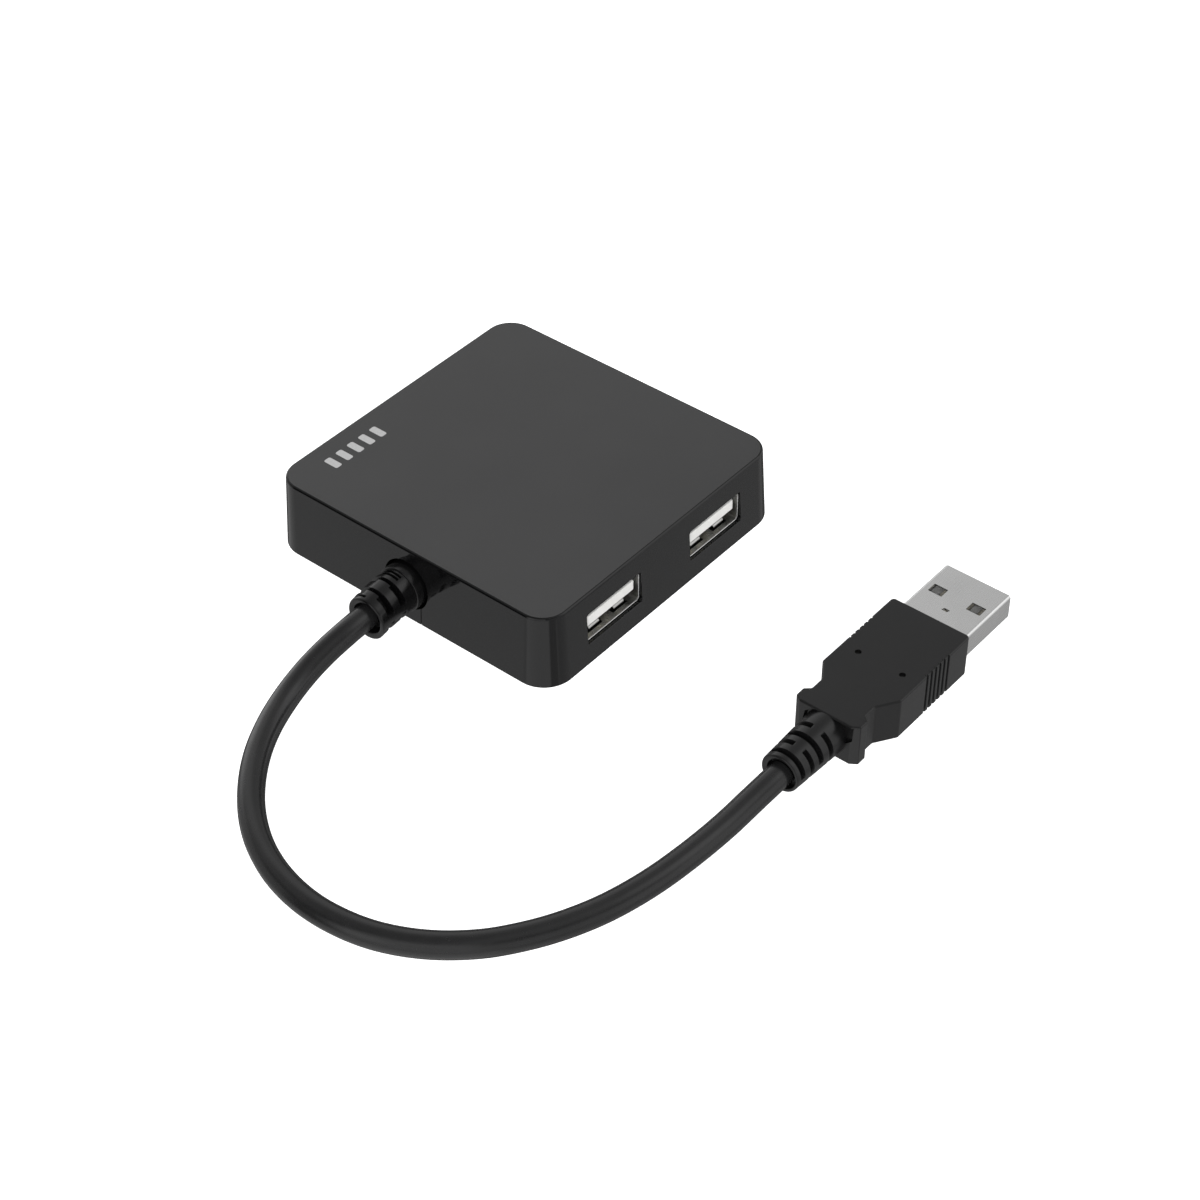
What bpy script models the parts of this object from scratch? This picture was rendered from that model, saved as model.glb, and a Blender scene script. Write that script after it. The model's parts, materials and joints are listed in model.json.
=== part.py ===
"""Four-port USB hub with a fixed lead and a USB-A plug.

Metres, +Z up. The origin is the centre of the case's underside. The lead leaves
the case on its -Y side, two ports open on +X and two on -X, and the plug lies
flat on the floor beside the case with its contacts pointing along +Y.
"""
import math

import bpy
import numpy as np

MM = 0.001

# Case
TOP_W = 56.6 * MM            # along X at the top edge
TOP_D = 56.4 * MM            # along Y at the top edge
CASE_H = 13.3 * MM
FLARE = 0.79 * MM            # how far each side leans out at the bottom
TOP_CORNER_R = 4.5 * MM
EDGE_R = 0.35 * MM           # rounding between the top face and the sides
WALL = 1.6 * MM
ROOF = 1.8 * MM
COVER_T = 1.6 * MM
COVER_GAP = 0.3 * MM

# Lead entry in the case
BOOT_Z = 6.5 * MM
COLLAR_R = 4.2 * MM
COLLAR_GAP = 0.25 * MM
NOTCH_W = 6.2 * MM

# Receptacles
PORT_Y = 12.6 * MM           # distance of each port from the case's centre line
PORT_Z = 6.62 * MM
WINDOW_W = 13.15 * MM
WINDOW_H = 5.75 * MM
PORT_FRONT = 28.25 * MM      # front edge of the metal shell
PORT_LEN = 13.5 * MM
PORT_IN_W = 12.5 * MM
PORT_IN_H = 5.1 * MM
SHEET = 0.2 * MM
TONGUE_W = 11.1 * MM
TONGUE_TIP = 27.85 * MM
TONGUE_LOW = 6.25 * MM
TONGUE_HIGH = 8.15 * MM
BLOCK_FRONT = 17.6 * MM
BLOCK_BACK = 15.1 * MM
CONTACT_Y = (-3.5 * MM, -1.0 * MM, 1.0 * MM, 3.5 * MM)
CONTACT_W = 1.0 * MM

# Circuit board
BOARD_LOW = 2.2 * MM
BOARD_T = 1.3 * MM
BOARD_W = 49.0 * MM
BOARD_Y0 = -19.5 * MM
BOARD_Y1 = 25.5 * MM
SCREW_Y = (-14.5 * MM, 18.0 * MM)

# Lead
CORD_D = 4.1 * MM
CORD_STEP = 2.0 * CORD_D

# Plug
PLUG_X = 67.75 * MM
PLUG_Z = 3.8 * MM
MOULD_H = 7.6 * MM
MOULD_HALF = 7.1 * MM
MOULD_FRONT = 15.5 * MM
MOULD_REAR = -12.0 * MM
PLUG_TIP = 28.65 * MM
PLUG_W = 12.0 * MM
PLUG_T = 4.5 * MM
PLUG_SHEET = 0.3 * MM
PLUG_SHELL_BACK = 9.8 * MM
PLUG_HOLE_X = 3.5 * MM
PLUG_HOLE_Y = 22.65 * MM
PLUG_SLEEVE_END = -23.05 * MM


def clear_scene():
    for obj in list(bpy.data.objects):
        bpy.data.objects.remove(obj, do_unlink=True)


def material(name, rgb, roughness, metallic=0.0):
    mat = bpy.data.materials.new(name)
    mat.use_nodes = True
    bsdf = mat.node_tree.nodes["Principled BSDF"]
    bsdf.inputs["Base Color"].default_value = (rgb[0], rgb[1], rgb[2], 1.0)
    bsdf.inputs["Roughness"].default_value = roughness
    bsdf.inputs["Metallic"].default_value = metallic
    mat.diffuse_color = (rgb[0], rgb[1], rgb[2], 1.0)
    return mat


def turn_outwards(mesh):
    """Flip a closed mesh whose faces point in."""
    mesh.calc_loop_triangles()
    volume = 0.0
    for tri in mesh.loop_triangles:
        a, b, c = (mesh.vertices[i].co for i in tri.vertices)
        volume += a.dot(b.cross(c))
    if volume < 0.0:
        mesh.flip_normals()


def mesh_object(name, verts, faces, mat=None):
    mesh = bpy.data.meshes.new(name)
    mesh.from_pydata([tuple(v) for v in verts], [], faces)
    mesh.update()
    turn_outwards(mesh)
    obj = bpy.data.objects.new(name, mesh)
    bpy.context.collection.objects.link(obj)
    if mat is not None:
        mesh.materials.append(mat)
    return obj


def loft(name, rings, mat=None):
    """Closed, capped skin through rings of equal point count."""
    count = len(rings[0])
    verts = [p for ring in rings for p in ring]
    faces = []
    for k in range(len(rings) - 1):
        a = k * count
        b = a + count
        for i in range(count):
            j = (i + 1) % count
            faces.append((a + i, a + j, b + j, b + i))
    faces.append(tuple(range(count - 1, -1, -1)))
    last = (len(rings) - 1) * count
    faces.append(tuple(last + i for i in range(count)))
    return mesh_object(name, verts, faces, mat)


def extrude(name, outline, axis, low, high, mat=None):
    """Prism of a counter-clockwise outline. Axis x takes (y, z), y takes (z, x), z takes (x, y)."""
    order = {"x": (2, 0, 1), "y": (1, 2, 0), "z": (0, 1, 2)}[axis]
    rings = []
    for level in (low, high):
        ring = []
        for a, b in outline:
            p = (a, b, level)
            ring.append((p[order[0]], p[order[1]], p[order[2]]))
        rings.append(ring)
    return loft(name, rings, mat)


def box(name, low, high, mat=None):
    outline = [(low[0], low[1]), (high[0], low[1]), (high[0], high[1]), (low[0], high[1])]
    return extrude(name, outline, "z", low[2], high[2], mat)


def rounded_rect(width, depth, radius, steps):
    pts = []
    for cx, cy, start in ((1, 1, 0), (-1, 1, 90), (-1, -1, 180), (1, -1, 270)):
        for k in range(steps + 1):
            a = math.radians(start + 90.0 * k / steps)
            x = cx * (width / 2 - radius) + radius * math.cos(a)
            y = cy * (depth / 2 - radius) + radius * math.sin(a)
            pts.append((x, y))
    return pts


def circle(radius, steps, cx=0.0, cy=0.0):
    turn = 2 * math.pi / steps
    return [(cx + radius * math.cos(turn * k), cy + radius * math.sin(turn * k)) for k in range(steps)]


def along_y(profile, cx, cz, steps, name, mat=None):
    """Solid of revolution about a line along Y. The profile lists (y, radius) towards -Y."""
    rings = []
    for y, radius in profile:
        ring = []
        for k in range(steps):
            a = 2 * math.pi * k / steps
            ring.append((cx + radius * math.cos(a), y, cz + radius * math.sin(a)))
        rings.append(ring)
    return loft(name, rings, mat)


def sector(name, cx, cz, y_low, y_high, r_in, r_out, deg0, deg1, steps):
    """Ring sector about a line along Y, used to cut the sleeves' slots."""
    outline = []
    for k in range(steps + 1):
        a = math.radians(deg0 + (deg1 - deg0) * k / steps)
        outline.append((cz + r_out * math.sin(a), cx + r_out * math.cos(a)))
    for k in range(steps, -1, -1):
        a = math.radians(deg0 + (deg1 - deg0) * k / steps)
        outline.append((cz + r_in * math.sin(a), cx + r_in * math.cos(a)))
    outline.reverse()
    return extrude(name, outline, "y", y_low, y_high)


def boolean(target, other, operation="DIFFERENCE"):
    mod = target.modifiers.new(operation.title() + "_" + other.name, "BOOLEAN")
    mod.operation = operation
    mod.solver = "EXACT"
    mod.object = other
    other.hide_render = True
    other.display_type = "WIRE"


def apply_modifiers(obj):
    """Replace the mesh by its evaluated form and remove the cutters it used."""
    used = [m.object for m in obj.modifiers if m.type == "BOOLEAN"]
    graph = bpy.context.evaluated_depsgraph_get()
    mesh = bpy.data.meshes.new_from_object(obj.evaluated_get(graph))
    obj.modifiers.clear()
    obj.data = mesh
    for other in used:
        bpy.data.objects.remove(other, do_unlink=True)


def shade_smooth(obj, limit_deg=35.0):
    limit = math.cos(math.radians(limit_deg))
    mesh = obj.data
    for poly in mesh.polygons:
        poly.use_smooth = True
    normals = [p.normal.copy() for p in mesh.polygons]
    meeting = {}
    for poly in mesh.polygons:
        for key in poly.edge_keys:
            meeting.setdefault(key, []).append(poly.index)
    for edge in mesh.edges:
        faces = meeting.get(tuple(sorted(edge.vertices)), [])
        if len(faces) == 2:
            edge.use_edge_sharp = normals[faces[0]].dot(normals[faces[1]]) < limit


def case_half(z):
    """Half width and half depth of the case's outside at height z."""
    lean = FLARE * (1.0 - z / CASE_H)
    return TOP_W / 2 + lean, TOP_D / 2 + lean


def case_ring(z, inset, steps=7):
    half_w, half_d = case_half(z)
    radius = TOP_CORNER_R + FLARE * (1.0 - z / CASE_H) - inset
    pts = rounded_rect(2 * (half_w - inset), 2 * (half_d - inset), radius, steps)
    return [(x, y, z) for x, y in pts]


def top_shell(mat):
    rings = [case_ring(0.0, 0.0)]
    for k in range(4):
        a = math.radians(30.0 * k)
        inset = EDGE_R * (1.0 - math.cos(a))
        rings.append(case_ring(CASE_H - EDGE_R + EDGE_R * math.sin(a), inset))
    cavity_top = CASE_H - ROOF
    inner = [case_ring(0.0, WALL), case_ring(cavity_top, WALL)]
    count = len(rings[0])
    verts = [p for ring in rings + inner for p in ring]
    faces = []
    for k in range(len(rings) - 1):
        for i in range(count):
            j = (i + 1) % count
            faces.append((k * count + i, k * count + j, (k + 1) * count + j, (k + 1) * count + i))
    roof = (len(rings) - 1) * count
    faces.append(tuple(roof + i for i in range(count)))
    low = len(rings) * count
    high = low + count
    for i in range(count):
        j = (i + 1) % count
        faces.append((low + j, low + i, high + i, high + j))
        faces.append((j, i, low + i, low + j))
    faces.append(tuple(high + i for i in range(count - 1, -1, -1)))
    shell = mesh_object("top_shell", verts, faces, mat)
    for side in (-1, 1):
        for row in (-1, 1):
            window = extrude("window_cut", [
                (row * PORT_Y + a, PORT_Z + b) for a, b in rounded_rect(WINDOW_W, WINDOW_H, 0.6 * MM, 4)],
                "x", min(side * 26.5, side * 32.0) * MM, max(side * 26.5, side * 32.0) * MM)
            boolean(shell, window)
    notch = extrude("notch_cut", notch_outline(), "y", -33.0 * MM, -25.5 * MM)
    boolean(shell, notch)
    apply_modifiers(shell)
    shade_smooth(shell)
    return shell


def notch_outline():
    """Round hole for the boot's collar with a straight slot below it, open downwards, as (z, x)."""
    radius = COLLAR_R + COLLAR_GAP
    half = NOTCH_W / 2
    start = math.asin(half / radius)
    pts = [(-1.0 * MM, -half)]
    steps = 28
    for k in range(steps + 1):
        a = start + (2 * math.pi - 2 * start) * k / steps
        pts.append((BOOT_Z - radius * math.cos(a), -radius * math.sin(a)))
    pts.append((-1.0 * MM, half))
    pts.reverse()
    return pts


def bottom_cover(mat):
    half_w, half_d = case_half(0.0)
    width = 2 * (half_w - WALL - COVER_GAP)
    depth = 2 * (half_d - WALL - COVER_GAP)
    radius = TOP_CORNER_R + FLARE - WALL - COVER_GAP
    cover = extrude("bottom_cover", rounded_rect(width, depth, radius, 7), "z", 0.0, COVER_T, mat)
    boolean(cover, cover_tab(depth / 2), "UNION")
    for y in SCREW_Y:
        post = extrude("post", circle(2.3 * MM, 24, 0.0, y), "z", COVER_T - 0.4 * MM, BOARD_LOW - 0.05 * MM)
        boolean(cover, post, "UNION")
    apply_modifiers(cover)
    for y in SCREW_Y:
        hole = extrude("post_hole", circle(0.95 * MM, 16, 0.0, y), "z", 0.5 * MM, 4.0 * MM)
        boolean(cover, hole)
    apply_modifiers(cover)
    shade_smooth(cover)
    return cover


def cover_tab(cover_edge):
    """Tab that closes the notch below the collar, hollowed on top and flush with the leaning side."""
    half = NOTCH_W / 2 - COVER_GAP / 2
    radius = COLLAR_R + COLLAR_GAP
    steps = 10
    pts = [(-half, 0.0), (half, 0.0)]
    for k in range(steps + 1):
        x = half - 2 * half * k / steps
        pts.append((x, BOOT_Z - math.sqrt(radius ** 2 - x ** 2)))
    rings = [[], []]
    for x, z in pts:
        rings[0].append((x, -case_half(z)[1], z))
        rings[1].append((x, -cover_edge + 0.2 * MM, z))
    return loft("tab", rings)


def circuit_board(mat):
    board = box("circuit_board", (-BOARD_W / 2, BOARD_Y0, BOARD_LOW),
                (BOARD_W / 2, BOARD_Y1, BOARD_LOW + BOARD_T), mat)
    low = BOARD_LOW - 1.0 * MM
    high = BOARD_LOW + BOARD_T + 1.0 * MM
    for y in SCREW_Y:
        boolean(board, extrude("screw_hole", circle(1.2 * MM, 16, 0.0, y), "z", low, high))
    for side in (-1, 1):
        for row in (-1, 1):
            y = row * PORT_Y
            boolean(board, box("tail_slot", (side * 14.2 * MM - 0.45 * MM, y - 4.4 * MM, low),
                               (side * 14.2 * MM + 0.45 * MM, y + 4.4 * MM, high)))
            for edge in (-1, 1):
                leg = y + edge * (PORT_IN_W + SHEET) / 2
                boolean(board, box("leg_slot", (side * 21.0 * MM - 1.1 * MM, leg - 0.45 * MM, low),
                                   (side * 21.0 * MM + 1.1 * MM, leg + 0.45 * MM, high)))
    apply_modifiers(board)
    return board


def turned(points, side, row):
    """Place a point list drawn for a +X port centred on y = 0 at one of the four ports."""
    return [(side * x, side * y + row * PORT_Y, z) for x, y, z in points]


def place(obj, side, row):
    for v in obj.data.vertices:
        v.co = turned([v.co[:]], side, row)[0]
    obj.data.update()


def port_shell(name, mat, side, row):
    outer = rounded_rect(PORT_IN_W + 2 * SHEET, PORT_IN_H + 2 * SHEET, 0.7 * MM, 5)
    inner = rounded_rect(PORT_IN_W, PORT_IN_H, 0.5 * MM, 5)
    back = PORT_FRONT - PORT_LEN
    rings = []
    for pts, x in ((outer, back), (outer, PORT_FRONT), (inner, PORT_FRONT), (inner, back)):
        rings.append([(x, a, PORT_Z + b) for a, b in pts])
    count = len(outer)
    verts = [p for ring in rings for p in ring]
    faces = []
    for k in range(4):
        a = k * count
        b = ((k + 1) % 4) * count
        for i in range(count):
            j = (i + 1) % count
            faces.append((a + i, a + j, b + j, b + i))
    shell = mesh_object(name, verts, faces, mat)
    floor = PORT_Z - PORT_IN_H / 2
    for y in (-3.0 * MM, 3.0 * MM):
        slot = box("spring_slot", (PORT_FRONT - 5.2 * MM, y - 1.65 * MM, floor - 1.0 * MM),
                   (PORT_FRONT - 1.1 * MM, y + 1.65 * MM, floor + 1.0 * MM))
        boolean(shell, slot)
        profile = [(-5.5, 0.0), (-5.3, -0.2), (-4.8, -0.2), (-1.7, 0.14), (-1.4, 0.02), (-1.25, 0.16),
                   (-1.6, 0.36), (-4.9, 0.0)]
        profile = [(PORT_FRONT + x * MM, floor + (z - 0.0) * MM) for x, z in profile]
        ring0 = [(x, y - 1.4 * MM, z) for x, z in profile]
        ring1 = [(x, y + 1.4 * MM, z) for x, z in profile]
        boolean(shell, loft("spring", [ring0, ring1]), "UNION")
    for edge in (-1, 1):
        mid = edge * (PORT_IN_W + SHEET) / 2
        leg = box("leg", (20.3 * MM, mid - SHEET / 2, BOARD_LOW - 0.25 * MM),
                  (21.7 * MM, mid + SHEET / 2, PORT_Z))
        boolean(shell, leg, "UNION")
    apply_modifiers(shell)
    place(shell, side, row)
    shade_smooth(shell)
    return shell


def port_insulator(name, mat, side, row):
    half = PORT_IN_W / 2 - 0.1 * MM
    block = rounded_rect(2 * half, PORT_IN_H - 0.2 * MM, 0.45 * MM, 3)
    body = extrude(name, [(a, PORT_Z + b) for a, b in block], "x", BLOCK_BACK, BLOCK_FRONT, mat)
    tongue = box("tongue", (BLOCK_FRONT - 0.5 * MM, -TONGUE_W / 2, TONGUE_LOW),
                 (TONGUE_TIP, TONGUE_W / 2, TONGUE_HIGH))
    boolean(body, tongue, "UNION")
    apply_modifiers(body)
    for y in CONTACT_Y:
        groove = box("groove", (BLOCK_BACK - 1.0 * MM, y - 0.65 * MM, TONGUE_LOW - 0.35 * MM),
                     (TONGUE_TIP - 0.5 * MM, y + 0.65 * MM, TONGUE_LOW + 0.45 * MM))
        boolean(body, groove)
    apply_modifiers(body)
    place(body, side, row)
    return body


def bent_strip(name, path, thickness, y_mid, width, mat):
    """Strip of even thickness along a path of (x, z) points."""
    pts = [np.array(p, float) for p in path]
    left = []
    right = []
    for k, p in enumerate(pts):
        d0 = pts[k] - pts[k - 1] if k > 0 else pts[1] - pts[0]
        d1 = pts[k + 1] - pts[k] if k < len(pts) - 1 else d0
        d0 = d0 / np.linalg.norm(d0)
        d1 = d1 / np.linalg.norm(d1)
        mid = (d0 + d1) / np.linalg.norm(d0 + d1)
        normal = np.array((-mid[1], mid[0]))
        reach = thickness / 2 / max(0.5, float(np.dot(normal, (-d0[1], d0[0]))))
        left.append(p + normal * reach)
        right.append(p - normal * reach)
    outline = left + right[::-1]
    ring0 = [(float(p[0]), y_mid - width / 2, float(p[1])) for p in outline]
    ring1 = [(float(p[0]), y_mid + width / 2, float(p[1])) for p in outline]
    return loft(name, [ring0, ring1], mat)


def port_contact(name, mat, side, row, y):
    roof = TONGUE_LOW + 0.2 * MM
    path = [(TONGUE_TIP - 1.0 * MM, roof), (25.6 * MM, TONGUE_LOW - 0.55 * MM),
            (24.6 * MM, TONGUE_LOW - 0.5 * MM), (21.0 * MM, roof), (14.2 * MM, roof),
            (14.2 * MM, BOARD_LOW - 0.25 * MM)]
    strip = bent_strip(name, path, 0.2 * MM, y, CONTACT_W, mat)
    place(strip, side, row)
    return strip


def rounded_block(name, low, high, edge, mat):
    w = high[0] - low[0]
    d = high[1] - low[1]
    cx = (high[0] + low[0]) / 2
    cy = (high[1] + low[1]) / 2
    rings = []
    for z, inset in ((low[2], 0.0), (high[2] - edge, 0.0), (high[2], edge)):
        pts = rounded_rect(w - 2 * inset, d - 2 * inset, edge, 3)
        rings.append([(cx + x, cy + y, z) for x, y in pts])
    return loft(name, rings, mat)


def board_parts(mats):
    top = BOARD_LOW + BOARD_T + 0.05 * MM
    rounded_block("hub_controller", (-4.5 * MM, -2.5 * MM, top),
                  (4.5 * MM, 6.5 * MM, top + 1.4 * MM), 0.3 * MM, mats["chip"])
    crystal_pts = rounded_rect(10.4 * MM, 4.0 * MM, 1.95 * MM, 6)
    extrude("crystal", [(0.0 + x, -7.0 * MM + y) for x, y in crystal_pts], "z", top, top + 3.4 * MM,
            mats["can"])
    can = extrude("bulk_capacitor", circle(3.1 * MM, 24, 9.6 * MM, -14.5 * MM), "z", top,
                  top + 5.4 * MM, mats["can"])
    shade_smooth(can)
    rounded_block("resettable_fuse", (-13.0 * MM, -16.1 * MM, top),
                  (-8.4 * MM, -12.9 * MM, top + 1.0 * MM), 0.2 * MM, mats["fuse"])
    for index, y in enumerate(SCREW_Y):
        seat = BOARD_LOW + BOARD_T + 0.05 * MM
        rings = []
        for z, radius in ((0.8 * MM, 0.8 * MM), (seat, 0.8 * MM), (seat, 1.9 * MM),
                          (seat + 0.8 * MM, 1.9 * MM), (seat + 1.2 * MM, 1.4 * MM)):
            rings.append([(a, b, z) for a, b in circle(radius, 20, 0.0, y)])
        screw = loft("board_screw_%d" % (index + 1), rings, mats["screw"])
        for turn in (0, 1):
            half = (1.1 * MM, 0.2 * MM) if turn else (0.2 * MM, 1.1 * MM)
            boolean(screw, box("drive", (-half[0], y - half[1], seat + 0.6 * MM),
                               (half[0], y + half[1], seat + 2.0 * MM)))
        apply_modifiers(screw)
        shade_smooth(screw)


def cut_slots(obj, cx, cz, rows, r_in, r_out):
    for y_mid, width, deg0, deg1 in rows:
        boolean(obj, sector("slot", cx, cz, (y_mid - width / 2) * MM, (y_mid + width / 2) * MM,
                            r_in, r_out, deg0, deg1, 12))
    apply_modifiers(obj)


def cable_boot(mat):
    wall = -case_half(BOOT_Z)[1]
    inside = wall + WALL + 0.3 * MM
    profile = [(inside + 1.4 * MM, 3.4 * MM), (inside, 3.4 * MM), (inside, COLLAR_R),
               (-30.5 * MM, COLLAR_R), (-30.9 * MM, 4.05 * MM), (-31.0 * MM, 3.85 * MM),
               (-37.6 * MM, 3.5 * MM), (-38.0 * MM, 3.2 * MM)]
    boot = along_y(profile, 0.0, BOOT_Z, 40, "cable_boot", mat)
    flange_pts = [(BOOT_Z + a, b) for a, b in rounded_rect(8.6 * MM, 11.0 * MM, 1.2 * MM, 4)]
    flange = extrude("flange", flange_pts, "y", inside, inside + 1.5 * MM)
    boolean(boot, flange, "UNION")
    apply_modifiers(boot)
    recess = extrude("recess", circle(2.75 * MM, 32, BOOT_Z, 0.0), "y", -39.0 * MM, -36.9 * MM)
    boolean(boot, recess)
    apply_modifiers(boot)
    rows = []
    for y_mid, width in ((-33.2, 0.9), (-35.8, 0.9)):
        rows += [(y_mid, width, 24.0, 100.0), (y_mid, width, 204.0, 280.0)]
    for y_mid, width in ((-31.8, 0.6), (-34.5, 0.7)):
        rows += [(y_mid, width, 112.0, 192.0), (y_mid, width, 292.0, 372.0)]
    cut_slots(boot, 0.0, BOOT_Z, rows, 3.0 * MM, 5.5 * MM)
    shade_smooth(boot)
    return boot


def smooth_route(route, step):
    """Evenly spaced points on a smooth curve through the route."""
    pts = np.array(route, float)
    full = np.vstack([2 * pts[0] - pts[1], pts, 2 * pts[-1] - pts[-2]])
    dense = []
    for k in range(1, len(full) - 2):
        p0, p1, p2, p3 = full[k - 1:k + 3]
        for t in np.linspace(0.0, 1.0, 24, endpoint=False):
            dense.append(0.5 * (2 * p1 + (p2 - p0) * t + (2 * p0 - 5 * p1 + 4 * p2 - p3) * t * t
                                + (3 * p1 - p0 - 3 * p2 + p3) * t ** 3))
    dense.append(pts[-1])
    dense = np.array(dense)
    run = np.concatenate([[0.0], np.cumsum(np.linalg.norm(np.diff(dense, axis=0), axis=1))])
    count = max(2, int(round(run[-1] / step)) + 1)
    at = np.linspace(0.0, run[-1], count)
    return np.stack([np.interp(at, run, dense[:, i]) for i in range(3)], axis=1)


def tube(name, points, radius, mat, resolution=3):
    curve = bpy.data.curves.new(name, "CURVE")
    curve.dimensions = "3D"
    curve.bevel_depth = radius
    curve.bevel_resolution = resolution
    curve.use_fill_caps = True
    spline = curve.splines.new("POLY")
    spline.points.add(len(points) - 1)
    for k, p in enumerate(points):
        spline.points[k].co = (float(p[0]), float(p[1]), float(p[2]), 1.0)
    obj = bpy.data.objects.new(name, curve)
    bpy.context.collection.objects.link(obj)
    curve.materials.append(mat)
    return obj


def cord_route():
    """Route of the lead's centre line from the boot's recess to the plug's sleeve."""
    rest = CORD_D / 2 + 0.02 * MM
    flat = [(2.2, -61.3), (5.0, -66.5), (8.6, -71.3), (12.9, -75.6), (17.7, -79.0), (22.9, -81.4),
            (28.0, -82.7), (32.9, -83.1), (37.6, -82.7), (41.9, -81.7), (45.8, -80.1), (49.4, -78.0),
            (52.6, -75.5), (55.5, -72.6), (58.0, -69.3), (60.2, -65.8), (62.1, -62.0), (63.7, -57.9),
            (64.9, -53.6), (65.8, -49.1), (66.4, -44.4), (66.8, -39.4)]
    route = [(0.0, -37.2 * MM, 6.2 * MM), (-0.05 * MM, -42.1 * MM, 5.75 * MM),
             (-0.45 * MM, -46.6 * MM, 4.6 * MM), (-0.5 * MM, -51.1 * MM, 3.3 * MM),
             (0.3 * MM, -56.0 * MM, 2.35 * MM)]
    route += [(x * MM, y * MM, rest) for x, y in flat]
    route += [(67.1 * MM, -34.3 * MM, 2.25 * MM), (67.35 * MM, -29.2 * MM, 2.8 * MM),
              (67.65 * MM, -24.8 * MM, 3.4 * MM), (67.75 * MM, -22.35 * MM, 3.6 * MM)]
    return route


def leads(mats):
    wall = -case_half(BOOT_Z)[1]
    start = wall + WALL + 2.1 * MM
    pads = BOARD_LOW + BOARD_T + 0.5 * MM
    for index, key in enumerate(("red", "white", "green", "black")):
        side = (index - 1.5) * 1.0
        route = [(side * 0.95 * MM, start, BOOT_Z), (side * 1.3 * MM, start + 1.6 * MM, BOOT_Z),
                 (side * 2.2 * MM, start + 4.0 * MM, BOOT_Z - 1.4 * MM),
                 (side * 2.4 * MM, start + 6.0 * MM, pads)]
        tube("lead_" + key, smooth_route(route, 0.8 * MM), 0.4 * MM, mats[key], 2)


def mould_outline():
    """Plan of the plug's overmould with its grip grooves, counter-clockwise from the front."""
    right = [(MOULD_HALF - 0.5 * MM, MOULD_FRONT), (MOULD_HALF, MOULD_FRONT - 0.5 * MM)]
    for k in range(6):
        y = (9.7 - 1.12 * k) * MM
        right += [(MOULD_HALF, y + 0.22 * MM), (MOULD_HALF - 0.3 * MM, y + 0.15 * MM),
                  (MOULD_HALF - 0.3 * MM, y - 0.15 * MM), (MOULD_HALF, y - 0.22 * MM)]
    right += [(MOULD_HALF, -2.85 * MM), (4.85 * MM, -6.3 * MM), (4.85 * MM, -8.7 * MM),
              (5.8 * MM, -9.5 * MM), (5.8 * MM, -11.2 * MM), (4.65 * MM, MOULD_REAR)]
    left = [(-x, y) for x, y in right[::-1]]
    ring = right + left
    ring.reverse()
    return [(PLUG_X + x, y) for x, y in ring]


def plug_overmould(mat):
    body = extrude("plug_overmould", mould_outline(), "z", 0.0, MOULD_H, mat)
    profile = [(-6.0 * MM, 3.0 * MM), (-10.5 * MM, 3.77 * MM), (-22.7 * MM, 3.28 * MM),
               (PLUG_SLEEVE_END, 3.0 * MM)]
    gap = 0.1 * MM
    pocket = extrude("pocket", [(PLUG_Z + a, PLUG_X + b) for a, b in rounded_rect(
        PLUG_T + 2 * gap, PLUG_W + 2 * gap, 0.7 * MM, 4)], "y", PLUG_SHELL_BACK - 0.3 * MM, 17.0 * MM)
    boolean(body, pocket)
    rear = box("rear_recess", (PLUG_X - 4.5 * MM, MOULD_REAR - 1.0 * MM, 1.0 * MM),
               (PLUG_X + 4.5 * MM, MOULD_REAR + 1.2 * MM, MOULD_H - 0.4 * MM))
    boolean(body, rear)
    for x in (-4.0, 4.0):
        boolean(body, extrude("gate", circle(0.4 * MM, 12, PLUG_X + x * MM, 1.92 * MM), "z",
                              MOULD_H - 0.6 * MM, MOULD_H + 1.0 * MM))
    apply_modifiers(body)
    sleeve = along_y(profile, PLUG_X, PLUG_Z, 40, "sleeve")
    boolean(body, sleeve, "UNION")
    apply_modifiers(body)
    recess = extrude("recess", circle(2.7 * MM, 32, PLUG_Z, PLUG_X), "y", -24.0 * MM, -22.05 * MM)
    boolean(body, recess)
    apply_modifiers(body)
    rows = []
    for y_mid, width in ((-17.45, 0.95), (-21.3, 0.8)):
        rows += [(y_mid, width, 2.0, 150.0), (y_mid, width, 182.0, 330.0)]
    for y_mid, width in ((-15.1, 0.85), (-19.4, 0.8)):
        rows += [(y_mid, width, -87.0, 59.0), (y_mid, width, 93.0, 239.0)]
    cut_slots(body, PLUG_X, PLUG_Z, rows, 2.85 * MM, 5.0 * MM)
    shade_smooth(body)
    return body


def plug_shell(mat):
    outer = rounded_rect(PLUG_T, PLUG_W, 0.5 * MM, 4)
    inner = rounded_rect(PLUG_T - 2 * PLUG_SHEET, PLUG_W - 2 * PLUG_SHEET, 0.2 * MM, 4)
    count = len(outer)
    verts = []
    for pts, y in ((outer, PLUG_SHELL_BACK), (outer, PLUG_TIP), (inner, PLUG_TIP),
                   (inner, PLUG_SHELL_BACK)):
        verts += [(PLUG_X + b, y, PLUG_Z + a) for a, b in pts]
    faces = []
    for k in range(4):
        a = k * count
        b = ((k + 1) % 4) * count
        for i in range(count):
            j = (i + 1) % count
            faces.append((a + i, a + j, b + j, b + i))
    shell = mesh_object("plug_shell", verts, faces, mat)
    for x in (-PLUG_HOLE_X, PLUG_HOLE_X):
        hole = box("latch_hole", (PLUG_X + x - 1.25 * MM, PLUG_HOLE_Y - 0.98 * MM, -1.0 * MM),
                   (PLUG_X + x + 1.25 * MM, PLUG_HOLE_Y + 0.98 * MM, 9.0 * MM))
        boolean(shell, hole)
    apply_modifiers(shell)
    shade_smooth(shell)
    return shell


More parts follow.
